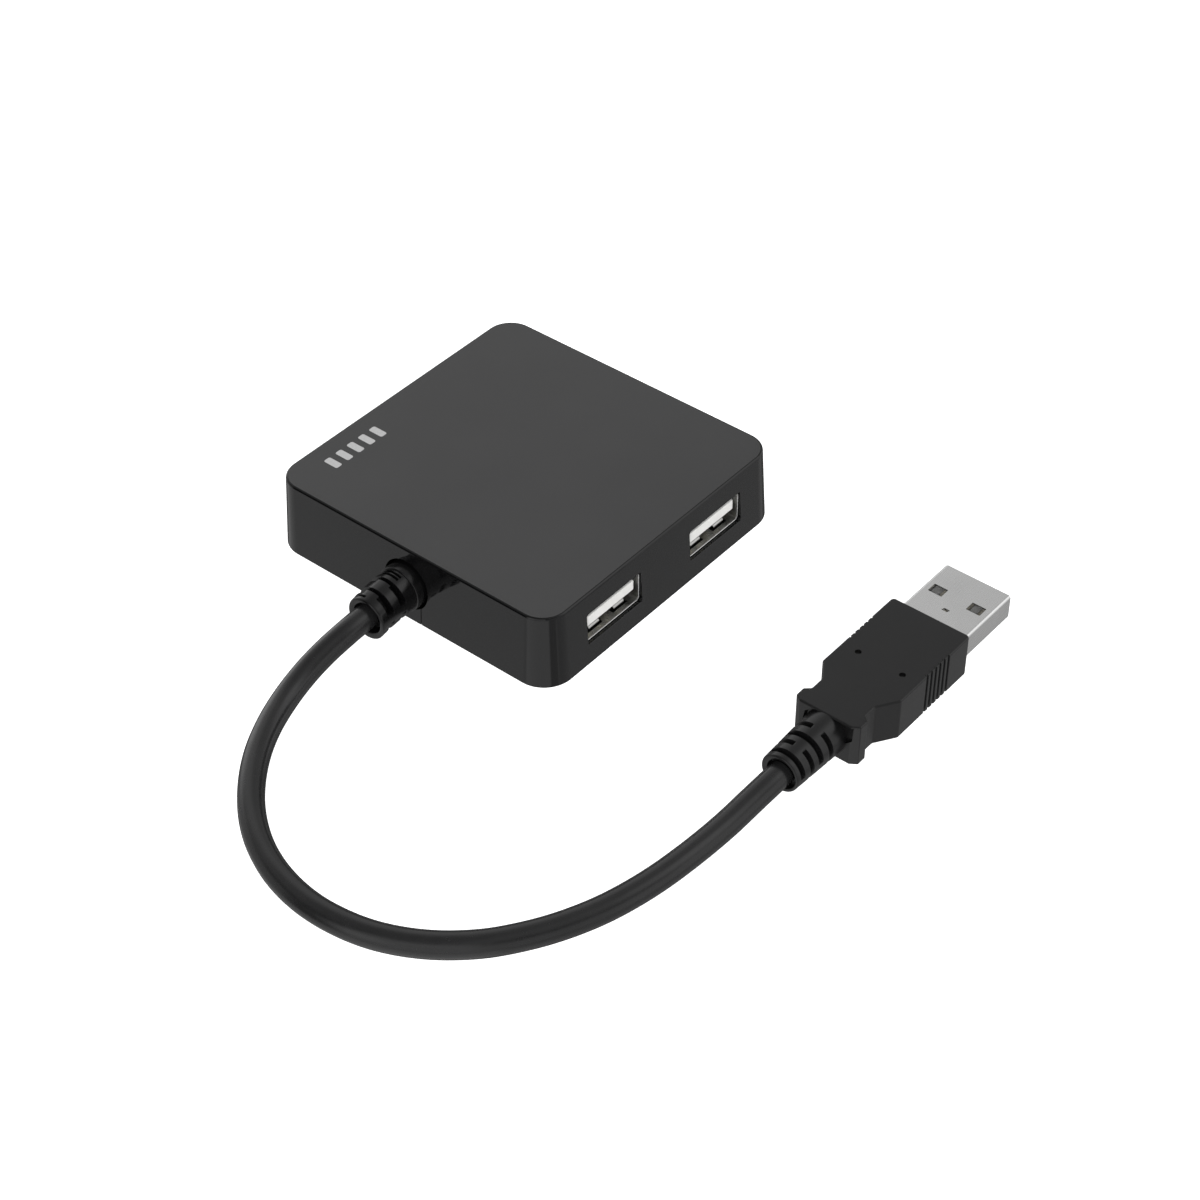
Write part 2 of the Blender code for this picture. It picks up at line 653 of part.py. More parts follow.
def plug_insulator(mat):
    low = PLUG_Z - PLUG_T / 2 + PLUG_SHEET + 0.06 * MM
    half = PLUG_W / 2 - PLUG_SHEET - 0.1 * MM
    deck = low + 1.86 * MM
    high = PLUG_Z + PLUG_T / 2 - PLUG_SHEET - 0.06 * MM
    profile = [(10.2, low), (28.2, low), (28.4, low + 0.3 * MM), (28.4, deck - 0.4 * MM),
               (28.1, deck), (19.4, deck), (19.2, high), (10.2, high)]
    ring0 = [(PLUG_X + half, y * MM, z) for y, z in profile]
    ring1 = [(PLUG_X - half, y * MM, z) for y, z in profile]
    body = loft("plug_insulator", [ring0, ring1], mat)
    for x in CONTACT_Y:
        groove = box("groove", (PLUG_X + x - 0.6 * MM, 9.0 * MM, deck - 0.35 * MM),
                     (PLUG_X + x + 0.6 * MM, 27.8 * MM, deck + 0.2 * MM))
        boolean(body, groove)
    apply_modifiers(body)
    return body


def plug_contact(name, mat, x):
    low = PLUG_Z - PLUG_T / 2 + PLUG_SHEET + 0.06 * MM
    deck = low + 1.86 * MM
    return box(name, (PLUG_X + x - CONTACT_W / 2, 10.4 * MM, deck - 0.3 * MM),
               (PLUG_X + x + CONTACT_W / 2, 27.6 * MM, deck - 0.02 * MM), mat)


def build():
    clear_scene()
    case_black = material("case_black", (0.030, 0.030, 0.031), 0.30)
    cover_black = material("cover_black", (0.028, 0.028, 0.029), 0.45)
    rubber_black = material("boot_black", (0.022, 0.022, 0.023), 0.55)
    cord_black = material("cord_black", (0.032, 0.032, 0.033), 0.50)
    steel = material("shell_steel", (0.72, 0.72, 0.71), 0.28, 1.0)
    white = material("tongue_white", (0.80, 0.80, 0.78), 0.45)
    gold = material("contact_metal", (0.80, 0.66, 0.38), 0.25, 1.0)
    board_green = material("board_green", (0.02, 0.14, 0.07), 0.40)
    parts = {
        "chip": material("chip_black", (0.02, 0.02, 0.02), 0.5),
        "can": material("can_metal", (0.70, 0.70, 0.70), 0.3, 1.0),
        "fuse": material("fuse_green", (0.03, 0.10, 0.05), 0.6),
        "screw": material("screw_steel", (0.55, 0.55, 0.54), 0.35, 1.0),
    }
    colours = {
        "red": material("lead_red", (0.45, 0.02, 0.02), 0.5),
        "white": material("lead_white", (0.75, 0.75, 0.72), 0.5),
        "green": material("lead_green", (0.02, 0.30, 0.08), 0.5),
        "black": material("lead_black", (0.02, 0.02, 0.02), 0.5),
    }
    top_shell(case_black)
    bottom_cover(cover_black)
    circuit_board(board_green)
    board_parts(parts)
    number = 0
    for side in (1, -1):
        for row in (-1, 1):
            number += 1
            stem = "port_%d_" % number
            port_shell(stem + "shell", steel, side, row)
            port_insulator(stem + "insulator", white, side, row)
            for pin, y in enumerate(CONTACT_Y):
                port_contact(stem + "contact_%d" % (pin + 1), gold, side, row, y)
    cable_boot(rubber_black)
    tube("cable", smooth_route(cord_route(), CORD_STEP), CORD_D / 2, cord_black, 3)
    leads(colours)
    plug_overmould(rubber_black)
    plug_shell(steel)
    plug_insulator(white)
    for pin, x in enumerate(CONTACT_Y):
        plug_contact("plug_contact_%d" % (pin + 1), gold, x)


build()
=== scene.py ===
"""Visual model of a four-port USB hub with its lead and plug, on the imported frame."""
import json
import math

import bpy
import numpy as np
from mathutils import Matrix, Vector

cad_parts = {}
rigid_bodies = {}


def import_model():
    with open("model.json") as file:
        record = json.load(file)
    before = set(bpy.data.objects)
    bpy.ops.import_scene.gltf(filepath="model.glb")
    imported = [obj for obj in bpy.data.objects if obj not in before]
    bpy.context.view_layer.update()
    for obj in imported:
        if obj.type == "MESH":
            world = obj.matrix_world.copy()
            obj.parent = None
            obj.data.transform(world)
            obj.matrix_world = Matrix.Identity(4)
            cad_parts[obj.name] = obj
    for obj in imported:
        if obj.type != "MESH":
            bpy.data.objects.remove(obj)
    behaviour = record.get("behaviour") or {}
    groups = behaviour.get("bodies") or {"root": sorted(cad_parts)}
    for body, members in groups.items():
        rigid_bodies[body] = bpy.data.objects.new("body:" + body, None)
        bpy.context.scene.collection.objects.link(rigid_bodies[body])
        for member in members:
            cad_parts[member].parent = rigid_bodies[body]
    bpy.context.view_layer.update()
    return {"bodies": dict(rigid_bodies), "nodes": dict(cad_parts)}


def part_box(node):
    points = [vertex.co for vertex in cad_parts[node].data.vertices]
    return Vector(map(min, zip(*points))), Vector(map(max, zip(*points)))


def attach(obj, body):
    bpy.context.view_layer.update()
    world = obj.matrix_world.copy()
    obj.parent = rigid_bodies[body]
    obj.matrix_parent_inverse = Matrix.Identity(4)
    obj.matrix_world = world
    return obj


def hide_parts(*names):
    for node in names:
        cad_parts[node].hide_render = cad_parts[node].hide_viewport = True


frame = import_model()
BODY = list(frame["bodies"])[0]

MM = 0.001

# Case, as the frame has it
CASE_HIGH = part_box("top_shell")[1]
CASE_H = CASE_HIGH.z
FLARE = 0.79 * MM
TOP_W = 2 * CASE_HIGH.x - 2 * FLARE
TOP_D = 2 * CASE_HIGH.y - 2 * FLARE
TOP_CORNER_R = 4.5 * MM
EDGE_R = 0.40 * MM
WALL = 1.6 * MM
ROOF = 1.8 * MM
BOOT_Z = 6.5 * MM
NOTCH_R = 4.45 * MM
NOTCH_W = 6.2 * MM

# Receptacles
PORT_Y = 12.6 * MM
PORT_Z = 6.62 * MM
WINDOW_W = 13.15 * MM
WINDOW_H = 5.75 * MM
PORT_FRONT = 28.25 * MM
PORT_LEN = 13.5 * MM
PORT_IN_W = 12.5 * MM
PORT_IN_H = 5.1 * MM
SHEET = 0.2 * MM
SLOT_BACK, SLOT_FRONT = 5.2 * MM, 0.95 * MM
SLOT_HALF_W = 1.75 * MM
SPRING_HALF_W = 1.25 * MM
SPRING_HALF_T = 0.1 * MM
# Spring tongue from its root in the shell's floor to its lip: (back from the mouth, height) in mm
SPRING_PATH = [(-5.4, -0.12), (-4.8, -0.10), (-3.8, 0.12), (-2.8, 0.45), (-2.3, 0.60),
               (-1.98, 0.64), (-1.68, 0.59), (-1.43, 0.46), (-1.28, 0.27)]
# Leg: span along the shell and height of its foot. Insulator: rear block and tongue. All in mm
LEG_X = (20.3, 21.7)
LEG_FOOT = 1.95
BLOCK_X = (15.1, 17.6)
TONGUE_LOW = (17.1, -5.55, 6.25)
TONGUE_HIGH = (27.85, 5.55, 8.15)
CONTACT_Y = (-3.5, -1.0, 1.0, 3.5)

# Lead and plug
CORD_D = 4.1 * MM
PLUG_X = 67.75 * MM
PLUG_Z = 3.8 * MM
PLUG_TIP = 28.65 * MM
PLUG_W = 12.0 * MM
PLUG_T = 4.5 * MM
# Plug details in mm
PLUG_SHEET = 0.3
PLUG_ROOT = 9.8
GRIP_HALF_W = 7.1
GRIP_H = 7.6
GRIP_EDGE = 0.32
GROOVE_Y = [9.7 - 1.12 * k for k in range(6)]
GATE_X, GATE_Y, GATE_R = 4.0, 1.92, 0.52
LATCH_X, LATCH_Y = 3.5, 22.65
LATCH_W, LATCH_L = 2.5, 1.96
STAMP = ((-0.62, 19.25), (0.42, 19.25), (0.62, 19.85), (-0.42, 19.85))
# Right half of the grip's outline from its front to its rear in mm, and the radius of each corner
GRIP_SIDE = [(GRIP_HALF_W, 15.5), (GRIP_HALF_W, -2.85), (4.85, -6.3), (4.85, -8.7), (5.8, -9.5),
             (5.8, -11.2), (4.65, -12.0)]
GRIP_RADII = [0.7, 0.8, 0.8, 0.5, 0.3, 0.3, 0.25]
# Section of the recess in the grip's rear, around its sleeve: (across, up) in mm
REAR_RECESS = [(1.4, 7.36), (4.95, 7.36), (4.85, 4.8), (2.8, 3.0), (-2.9, 3.0), (-3.9, 4.6),
               (-3.6, 6.1), (-2.4, 7.2), (-1.2, 7.36)]
# Section of one grip groove: (out from the side, along the grip) in mm
GROOVE = ((0.6, -0.44), (0.02, -0.37), (-0.06, -0.29), (-0.30, -0.23), (-0.44, -0.12),
          (-0.44, 0.12), (-0.30, 0.23), (-0.06, 0.29), (0.02, 0.37), (0.6, 0.44))

# Printed bars in mm
BAR_X = -23.4
BAR_Y = [-19.8 + k * 2.6 for k in range(5)]
BAR_SIZE = (2.9, 1.35)

# Camera
CAMERA_ANGLES = (39.68, 41.49, -0.33)
CAMERA_DISTANCE = 0.41619
CAMERA_TARGET = Vector((0.02086, -0.00680, -0.00004))
CAMERA_ZOOM = 2644.95 / 1200.0
SENSOR_W = 36.0

# Studio
BACKDROP_R = 1.6
FLOOR_Z = -0.02 * MM
LIGHT_TARGET = (0.02, -0.02, 0.0)
SKY = 0.41
SKY_CENTRE = (108.0, 50.0)
GROUND = 0.50
# Glow along the horizon: first and last azimuth, softness, height where it starts to fade, level
HORIZON = ((2.0, 80.0, 6.0, 0.24, 0.68), (80.0, 200.0, 6.0, 0.05, 0.28),
           (-200.0, -133.0, 3.0, 0.20, 0.45), (-106.0, -42.0, 4.0, 0.62, 0.72),
           (-42.0, 2.0, 6.0, 0.32, 0.50))
# Change of the ground's level by sector: first and last azimuth, softness, relative change
GROUND_SECTORS = ((-112.0, -30.0, 5.0, 0.5), (0.0, 80.0, 4.0, -0.27), (80.0, 172.0, 8.0, -0.78))
# Broad soft panels: azimuth, elevation, half angle in degrees, and the level added or taken away
PANELS = ((148.0, 30.0, 30.0, 0.37), (50.0, 42.0, 26.0, 0.7), (-150.0, 75.0, 35.0, -0.2),
          (161.0, 4.0, 26.0, 1.0), (-98.0, 18.0, 22.0, 0.4))


# ---------------------------------------------------------------- mesh tools

def signed_volume(mesh):
    mesh.calc_loop_triangles()
    total = 0.0
    for tri in mesh.loop_triangles:
        a, b, c = (mesh.vertices[i].co for i in tri.vertices)
        total += a.dot(b.cross(c))
    return total


def mesh_object(name, verts, faces, mats=()):
    mesh = bpy.data.meshes.new(name)
    mesh.from_pydata([tuple(v) for v in verts], [], faces)
    mesh.update()
    if signed_volume(mesh) < 0.0:
        mesh.flip_normals()
    for mat in mats:
        mesh.materials.append(mat)
    obj = bpy.data.objects.new(name, mesh)
    bpy.context.scene.collection.objects.link(obj)
    return obj


def loft(name, rings, mats=(), closed=False):
    """Skin through rings of equal point count, with flat ends, or closed on itself."""
    count = len(rings[0])
    verts = [p for ring in rings for p in ring]
    faces = []
    spans = len(rings) if closed else len(rings) - 1
    for k in range(spans):
        a = k * count
        b = ((k + 1) % len(rings)) * count
        for i in range(count):
            j = (i + 1) % count
            faces.append((a + i, a + j, b + j, b + i))
    if not closed:
        faces.append(tuple(range(count - 1, -1, -1)))
        last = (len(rings) - 1) * count
        faces.append(tuple(last + i for i in range(count)))
    return mesh_object(name, verts, faces, mats)


def rounded_rect(width, depth, radius, steps):
    pts = []
    for cx, cy, start in ((1, 1, 0), (-1, 1, 90), (-1, -1, 180), (1, -1, 270)):
        for k in range(steps + 1):
            a = math.radians(start + 90.0 * k / steps)
            pts.append((cx * (width / 2 - radius) + radius * math.cos(a),
                        cy * (depth / 2 - radius) + radius * math.sin(a)))
    return pts


def circle(radius, steps, cx=0.0, cy=0.0):
    turn = 2 * math.pi / steps
    return [(cx + radius * math.cos(turn * k), cy + radius * math.sin(turn * k))
            for k in range(steps)]


def box_mesh(name, low, high, mats=()):
    outline = ((low[0], low[1]), (high[0], low[1]), (high[0], high[1]), (low[0], high[1]))
    return loft(name, [[(x, y, z) for x, y in outline] for z in (low[2], high[2])], mats)


def rounded_ends(low, high, edge, steps):
    """Heights and insets of the rings of a solid whose lower and upper edges are rounded."""
    bend = [math.radians(90.0 * k / steps) for k in range(steps + 1)]
    ends = [(low + edge * (1 - math.cos(a)), edge * (1 - math.sin(a))) for a in bend]
    return ends + [(high - edge * (1 - math.cos(a)), edge * (1 - math.sin(a))) for a in bend[::-1]]


def soft_box(name, low, high, edge, mats=(), steps=3):
    """Box with every edge rounded by the same radius."""
    w, d = high[0] - low[0], high[1] - low[1]
    cx, cy = (low[0] + high[0]) / 2, (low[1] + high[1]) / 2
    rings = []
    for z, inset in rounded_ends(low[2], high[2], edge, steps):
        radius = max(edge - inset, edge * 0.02)
        rings.append([(cx + x, cy + y, z)
                      for x, y in rounded_rect(w - 2 * inset, d - 2 * inset, radius, steps)])
    return loft(name, rings, mats)


def boolean(target, other, operation="DIFFERENCE"):
    """Apply an exact Boolean at once, in millimetres, and remove the cutter."""
    for obj in (target, other):
        obj.data.transform(Matrix.Scale(1.0 / MM, 4))
    mod = target.modifiers.new("cut", "BOOLEAN")
    mod.operation = operation
    mod.solver = "EXACT"
    mod.object = other
    bpy.context.view_layer.update()
    graph = bpy.context.evaluated_depsgraph_get()
    mesh = bpy.data.meshes.new_from_object(target.evaluated_get(graph))
    target.modifiers.clear()
    old = target.data
    target.data = mesh
    mesh.transform(Matrix.Scale(MM, 4))
    bpy.data.meshes.remove(old)
    bpy.data.objects.remove(other, do_unlink=True)


def joined(name, objs):
    """Several closed meshes as one object."""
    verts, faces, mats, slots = [], [], [], []
    for obj in objs:
        base = len(verts)
        own = list(obj.data.materials)
        for mat in own:
            if mat not in mats:
                mats.append(mat)
        verts += [tuple(v.co) for v in obj.data.vertices]
        for poly in obj.data.polygons:
            faces.append(tuple(base + i for i in poly.vertices))
            slots.append(mats.index(own[poly.material_index]) if own else 0)
        bpy.data.objects.remove(obj, do_unlink=True)
    mesh = bpy.data.meshes.new(name)
    mesh.from_pydata(verts, [], faces)
    for mat in mats:
        mesh.materials.append(mat)
    for poly, index in zip(mesh.polygons, slots):
        poly.material_index = index
    mesh.update()
    out = bpy.data.objects.new(name, mesh)
    bpy.context.scene.collection.objects.link(out)
    return out


def smooth(obj, limit_deg=32.0, weighted=True):
    """Smooth shading with sharp edges past the limit, weighted so that flat faces stay flat."""
    mesh = obj.data
    mesh.polygons.foreach_set("use_smooth", [True] * len(mesh.polygons))
    limit = math.cos(math.radians(limit_deg))
    normals = [p.normal.copy() for p in mesh.polygons]
    meeting = {}
    for poly in mesh.polygons:
        for key in poly.edge_keys:
            meeting.setdefault(key, []).append(poly.index)
    for edge in mesh.edges:
        sides = meeting.get(tuple(sorted(edge.vertices)), [])
        if len(sides) == 2:
            edge.use_edge_sharp = normals[sides[0]].dot(normals[sides[1]]) < limit
    if weighted:
        mod = obj.modifiers.new("weighted", "WEIGHTED_NORMAL")
        mod.keep_sharp = True
        mod.weight = 100


# ---------------------------------------------------------------- materials

class Shade:
    """Node material with colour variation, roughness variation and bump in object space."""

    def __init__(self, name, color, rough, metal=0.0):
        self.mat = bpy.data.materials.new(name)
        self.mat.use_nodes = True
        self.nodes = self.mat.node_tree.nodes
        self.links = self.mat.node_tree.links
        self.bsdf = self.nodes["Principled BSDF"]
        self.bsdf.inputs["Base Color"].default_value = (*color, 1.0)
        self.bsdf.inputs["Roughness"].default_value = rough
        self.bsdf.inputs["Metallic"].default_value = metal
        self.coord = self.nodes.new("ShaderNodeTexCoord").outputs["Object"]
        self.height = None
        self.mat.diffuse_color = (*color, 1.0)

    def stretched(self, scale):
        node = self.nodes.new("ShaderNodeMapping")
        node.inputs["Scale"].default_value = scale
        self.links.new(self.coord, node.inputs["Vector"])
        return node.outputs["Vector"]

    def noise(self, per_mm, detail=3.0, rough=0.5, stretch=None):
        node = self.nodes.new("ShaderNodeTexNoise")
        node.inputs["Scale"].default_value = per_mm / MM
        node.inputs["Detail"].default_value = detail
        node.inputs["Roughness"].default_value = rough
        self.links.new(self.stretched(stretch) if stretch else self.coord, node.inputs["Vector"])
        return node.outputs["Fac"]

    def ranged(self, value, low, high, start=0.3, end=0.7):
        node = self.nodes.new("ShaderNodeMapRange")
        node.inputs["From Min"].default_value = start
        node.inputs["From Max"].default_value = end
        node.inputs["To Min"].default_value = low
        node.inputs["To Max"].default_value = high
        self.links.new(value, node.inputs["Value"])
        return node.outputs["Result"]

    def vary_rough(self, value, low, high, start=0.3, end=0.7):
        self.links.new(self.ranged(value, low, high, start, end), self.bsdf.inputs["Roughness"])
        return self

    def vary_color(self, value, dark, light, start=0.3, end=0.7):
        node = self.nodes.new("ShaderNodeMix")
        node.data_type = "RGBA"
        node.inputs["A"].default_value = (*dark, 1.0)
        node.inputs["B"].default_value = (*light, 1.0)
        self.links.new(self.ranged(value, 0.0, 1.0, start, end), node.inputs["Factor"])
        self.links.new(node.outputs["Result"], self.bsdf.inputs["Base Color"])
        return self

    def bump(self, value, depth_mm, strength=1.0):
        node = self.nodes.new("ShaderNodeBump")
        node.inputs["Distance"].default_value = depth_mm * MM
        node.inputs["Strength"].default_value = strength
        self.links.new(value, node.inputs["Height"])
        if self.height is not None:
            self.links.new(self.height, node.inputs["Normal"])
        self.height = node.outputs["Normal"]
        self.links.new(self.height, self.bsdf.inputs["Normal"])
        return self

    def set(self, **sockets):
        for key, value in sockets.items():
            self.bsdf.inputs[key.replace("_", " ")].default_value = value
        return self


def make_materials():
    mats = {}

    top = Shade("case_top_satin", (0.034, 0.034, 0.0345), 0.34)
    grain = top.noise(7.0, 2.0, 0.6)
    top.vary_rough(grain, 0.31, 0.38)
    top.vary_color(top.noise(0.05, 2.0), (0.032, 0.032, 0.0325), (0.036, 0.036, 0.0365))
    top.bump(grain, 0.0015)
    mats["top"] = top.mat

    side = Shade("case_side_polished", (0.004, 0.004, 0.0042), 0.06)
    side.vary_rough(side.noise(0.25, 4.0), 0.045, 0.080)
    side.bump(side.noise(0.12, 2.0), 0.004)
    mats["side"] = side.mat

    cover = Shade("cover_fine_texture", (0.016, 0.016, 0.0165), 0.5)
    spark = cover.noise(5.0, 3.0, 0.6)
    cover.vary_rough(spark, 0.44, 0.58)
    cover.vary_color(cover.noise(0.08, 2.0), (0.014, 0.014, 0.0145), (0.018, 0.018, 0.0185))
    cover.bump(spark, 0.012)
    mats["cover"] = cover.mat

    mould = Shade("moulded_soft_black", (0.0060, 0.0060, 0.0062), 0.30)
    skin = mould.noise(6.0, 3.0, 0.55)
    mould.vary_rough(skin, 0.28, 0.34)
    mould.vary_color(mould.noise(0.15, 2.0), (0.0054, 0.0054, 0.0056), (0.0066, 0.0066, 0.0068))
    mould.bump(skin, 0.0011)
    mats["mould"] = mould.mat

    boot = Shade("boot_soft_black", (0.0035, 0.0035, 0.0037), 0.20)
    skin = boot.noise(6.0, 3.0, 0.55)
    boot.vary_rough(skin, 0.16, 0.25)
    boot.vary_color(boot.noise(0.3, 2.0), (0.0030, 0.0030, 0.0032), (0.0040, 0.0040, 0.0042))
    boot.bump(skin, 0.002)
    mats["boot"] = boot.mat

    cord = Shade("cord_jacket", (0.0135, 0.0135, 0.0138), 0.26)
    flow = cord.noise(0.8, 4.0, 0.55)
    cord.vary_rough(flow, 0.19, 0.28)
    cord.vary_color(cord.noise(0.2, 3.0), (0.0125, 0.0125, 0.0128), (0.0150, 0.0150, 0.0154))
    cord.bump(flow, 0.007)
    cord.bump(cord.noise(8.0, 2.0), 0.001)
    mats["cord"] = cord.mat

    steel = Shade("plated_sheet_steel", (0.85, 0.85, 0.845), 0.26, 1.0)
    drawn = steel.noise(0.5, 4.0, 0.6, stretch=(9.0, 1.0, 9.0))
    steel.vary_rough(drawn, 0.24, 0.30)
    steel.vary_color(steel.noise(0.25, 3.0), (0.83, 0.83, 0.825), (0.87, 0.87, 0.865))
    steel.bump(drawn, 0.0002)
    mats["steel"] = steel.mat

    # Darker copy of the plated steel for the receptacle shells, springs and legs: painted shade
    # inside the ports.
    port = Shade("port_steel_painted_shade", (0.56, 0.56, 0.545), 0.30, 1.0)
    rolled = port.noise(0.6, 4.0, 0.6, stretch=(1.0, 7.0, 7.0))
    port.vary_rough(rolled, 0.24, 0.38)
    port.bump(rolled, 0.002)
    mats["port"] = port.mat

    white = Shade("insulator_white", (0.82, 0.815, 0.795), 0.42)
    flecks = white.noise(3.0, 3.0)
    white.vary_rough(flecks, 0.36, 0.48)
    white.vary_color(white.noise(0.3, 2.0), (0.80, 0.795, 0.775), (0.84, 0.835, 0.82))
    white.bump(flecks, 0.003)
    mats["white"] = white.mat

    # Grey copy of the white insulator, used for the plug's insulator: painted shade inside the plug
    # shell, seen through the latch holes.
    shaded_insulator = Shade("white_insulator_painted_shade", (0.42, 0.42, 0.415), 0.45)
    flecks = shaded_insulator.noise(3.0, 3.0)
    shaded_insulator.vary_rough(flecks, 0.40, 0.50)
    shaded_insulator.vary_color(shaded_insulator.noise(0.3, 2.0), (0.40, 0.40, 0.395), (0.44, 0.44, 0.435))
    shaded_insulator.bump(flecks, 0.003)
    mats["shaded_insulator"] = shaded_insulator.mat

    contact = Shade("contact_plating", (0.78, 0.74, 0.64), 0.24, 1.0)
    plating = contact.noise(2.0, 3.0, 0.5, stretch=(1.0, 5.0, 5.0))
    contact.vary_rough(plating, 0.20, 0.32)
    contact.bump(plating, 0.0015)
    mats["contact"] = contact.mat

    ink = Shade("printed_ink", (0.52, 0.52, 0.52), 0.55)
    ink.vary_rough(ink.noise(6.0, 2.0), 0.50, 0.62)
    ink.vary_color(ink.noise(3.0, 3.0), (0.49, 0.49, 0.49), (0.55, 0.55, 0.55))
    mats["ink"] = ink.mat

    board = Shade("board_solder_resist", (0.012, 0.10, 0.045), 0.32)
    weave = board.noise(1.4, 3.0)
    board.vary_rough(weave, 0.26, 0.40)
    board.vary_color(weave, (0.010, 0.085, 0.038), (0.016, 0.12, 0.055))
    board.bump(weave, 0.006)
    mats["board"] = board.mat

    chip = Shade("epoxy_black", (0.018, 0.018, 0.019), 0.55)
    chip.vary_rough(chip.noise(5.0, 3.0), 0.48, 0.62).bump(chip.noise(5.0, 3.0), 0.006)
    mats["chip"] = chip.mat

    can = Shade("drawn_can", (0.74, 0.74, 0.73), 0.3, 1.0)
    can.vary_rough(can.noise(1.5, 4.0), 0.24, 0.38).bump(can.noise(1.5, 4.0), 0.003)
    mats["can"] = can.mat

    fuse = Shade("fuse_body", (0.03, 0.10, 0.05), 0.6)
    fuse.vary_rough(fuse.noise(4.0, 3.0), 0.52, 0.68).bump(fuse.noise(4.0, 3.0), 0.006)
    mats["fuse"] = fuse.mat

    for key, color in (("red", (0.40, 0.015, 0.012)), ("white", (0.72, 0.72, 0.70)),
                       ("green", (0.015, 0.24, 0.06)), ("black", (0.015, 0.015, 0.016))):
        wire = Shade("wire_" + key, color, 0.45)
        wire.vary_rough(wire.noise(3.0, 3.0), 0.38, 0.52).bump(wire.noise(3.0, 3.0), 0.004)
        mats["wire_" + key] = wire.mat
    return mats


# ---------------------------------------------------------------- case

def lean(z):
    """How far the walls stand out at a height, past their place at the top."""
    return FLARE * (1.0 - z / CASE_H)


def case_ring(z, inset, steps=24):
    """Outline of the case at a height, drawn in by the inset."""
    pts = rounded_rect(TOP_W + 2 * (lean(z) - inset), TOP_D + 2 * (lean(z) - inset),
                       TOP_CORNER_R + lean(z) - inset, steps)
    return [(x, y, z) for x, y in pts]


def window_cutter(side, row):
    """Prism for one receptacle window, with a mouth that flares to round the window's edge."""
    def ring(offset, outset):
        outline = rounded_rect(WINDOW_W + 2 * outset, WINDOW_H + 2 * outset, 0.5 * MM + outset, 6)
        return [(side * (TOP_W / 2 + lean(PORT_Z + b) + offset),
                 row * PORT_Y + side * a, PORT_Z + b) for a, b in outline]
    rings = [ring(1.5 * MM, 0.07 * MM), ring(0.03 * MM, 0.07 * MM), ring(-0.04 * MM, 0.02 * MM),
             ring(-0.09 * MM, 0.0), ring(-3.0 * MM, 0.0)]
    return loft("window_cutter", rings)


def notch_outline(outset, steps=48):
    """Round hole for the collar with a straight slot below it, as (x, z)."""
    radius = NOTCH_R + outset
    half = NOTCH_W / 2 + outset
    start = math.asin(half / radius)
    pts = [(half, -1.0 * MM)]
    for k in range(steps + 1):
        a = start + (2 * math.pi - 2 * start) * k / steps
        pts.append((radius * math.sin(a), BOOT_Z - radius * math.cos(a)))
    pts.append((-half, -1.0 * MM))
    return pts


def notch_cutter():
    rings = []
    for offset, outset in ((-1.5, 0.08), (-0.03, 0.08), (0.05, 0.02), (0.10, 0.0), (3.0, 0.0)):
        rings.append([(x, -(TOP_D / 2 + lean(z)) + offset * MM, z)
                      for x, z in notch_outline(outset * MM)])
    return loft("notch_cutter", rings)


def make_case(mats):
    """Hollow shell with leaning walls, a rounded top edge, four windows and the notch."""
    rings = [case_ring(0.0, 0.10 * MM), case_ring(0.04 * MM, 0.03 * MM), case_ring(0.12 * MM, 0.0)]
    steps = 8
    for k in range(steps + 1):
        a = math.radians(90.0 * k / steps)
        rings.append(case_ring(CASE_H - EDGE_R + EDGE_R * math.sin(a), EDGE_R * (1 - math.cos(a))))
    count = len(rings[0])
    outer = len(rings)
    rings.append(case_ring(CASE_H - ROOF, WALL))
    rings.append(case_ring(0.0, WALL))
    verts = [p for ring in rings for p in ring]
    faces = []
    for k in range(outer - 1):
        for i in range(count):
            j = (i + 1) % count
            faces.append((k * count + i, k * count + j, (k + 1) * count + j, (k + 1) * count + i))
    top_face = len(faces)
    faces.append(tuple((outer - 1) * count + i for i in range(count)))
    high, low = outer * count, (outer + 1) * count
    for i in range(count):
        j = (i + 1) % count
        faces.append((low + j, low + i, high + i, high + j))
        faces.append((j, i, low + i, low + j))
    faces.append(tuple(high + i for i in range(count - 1, -1, -1)))
    case = mesh_object("case_shell", verts, faces, (mats["side"], mats["top"]))
    case.data.polygons[top_face].material_index = 1
    for side in (-1, 1):
        for row in (-1, 1):
            boolean(case, window_cutter(side, row))
    boolean(case, notch_cutter())
    smooth(case, 14.0)
    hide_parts("top_shell")
    return case


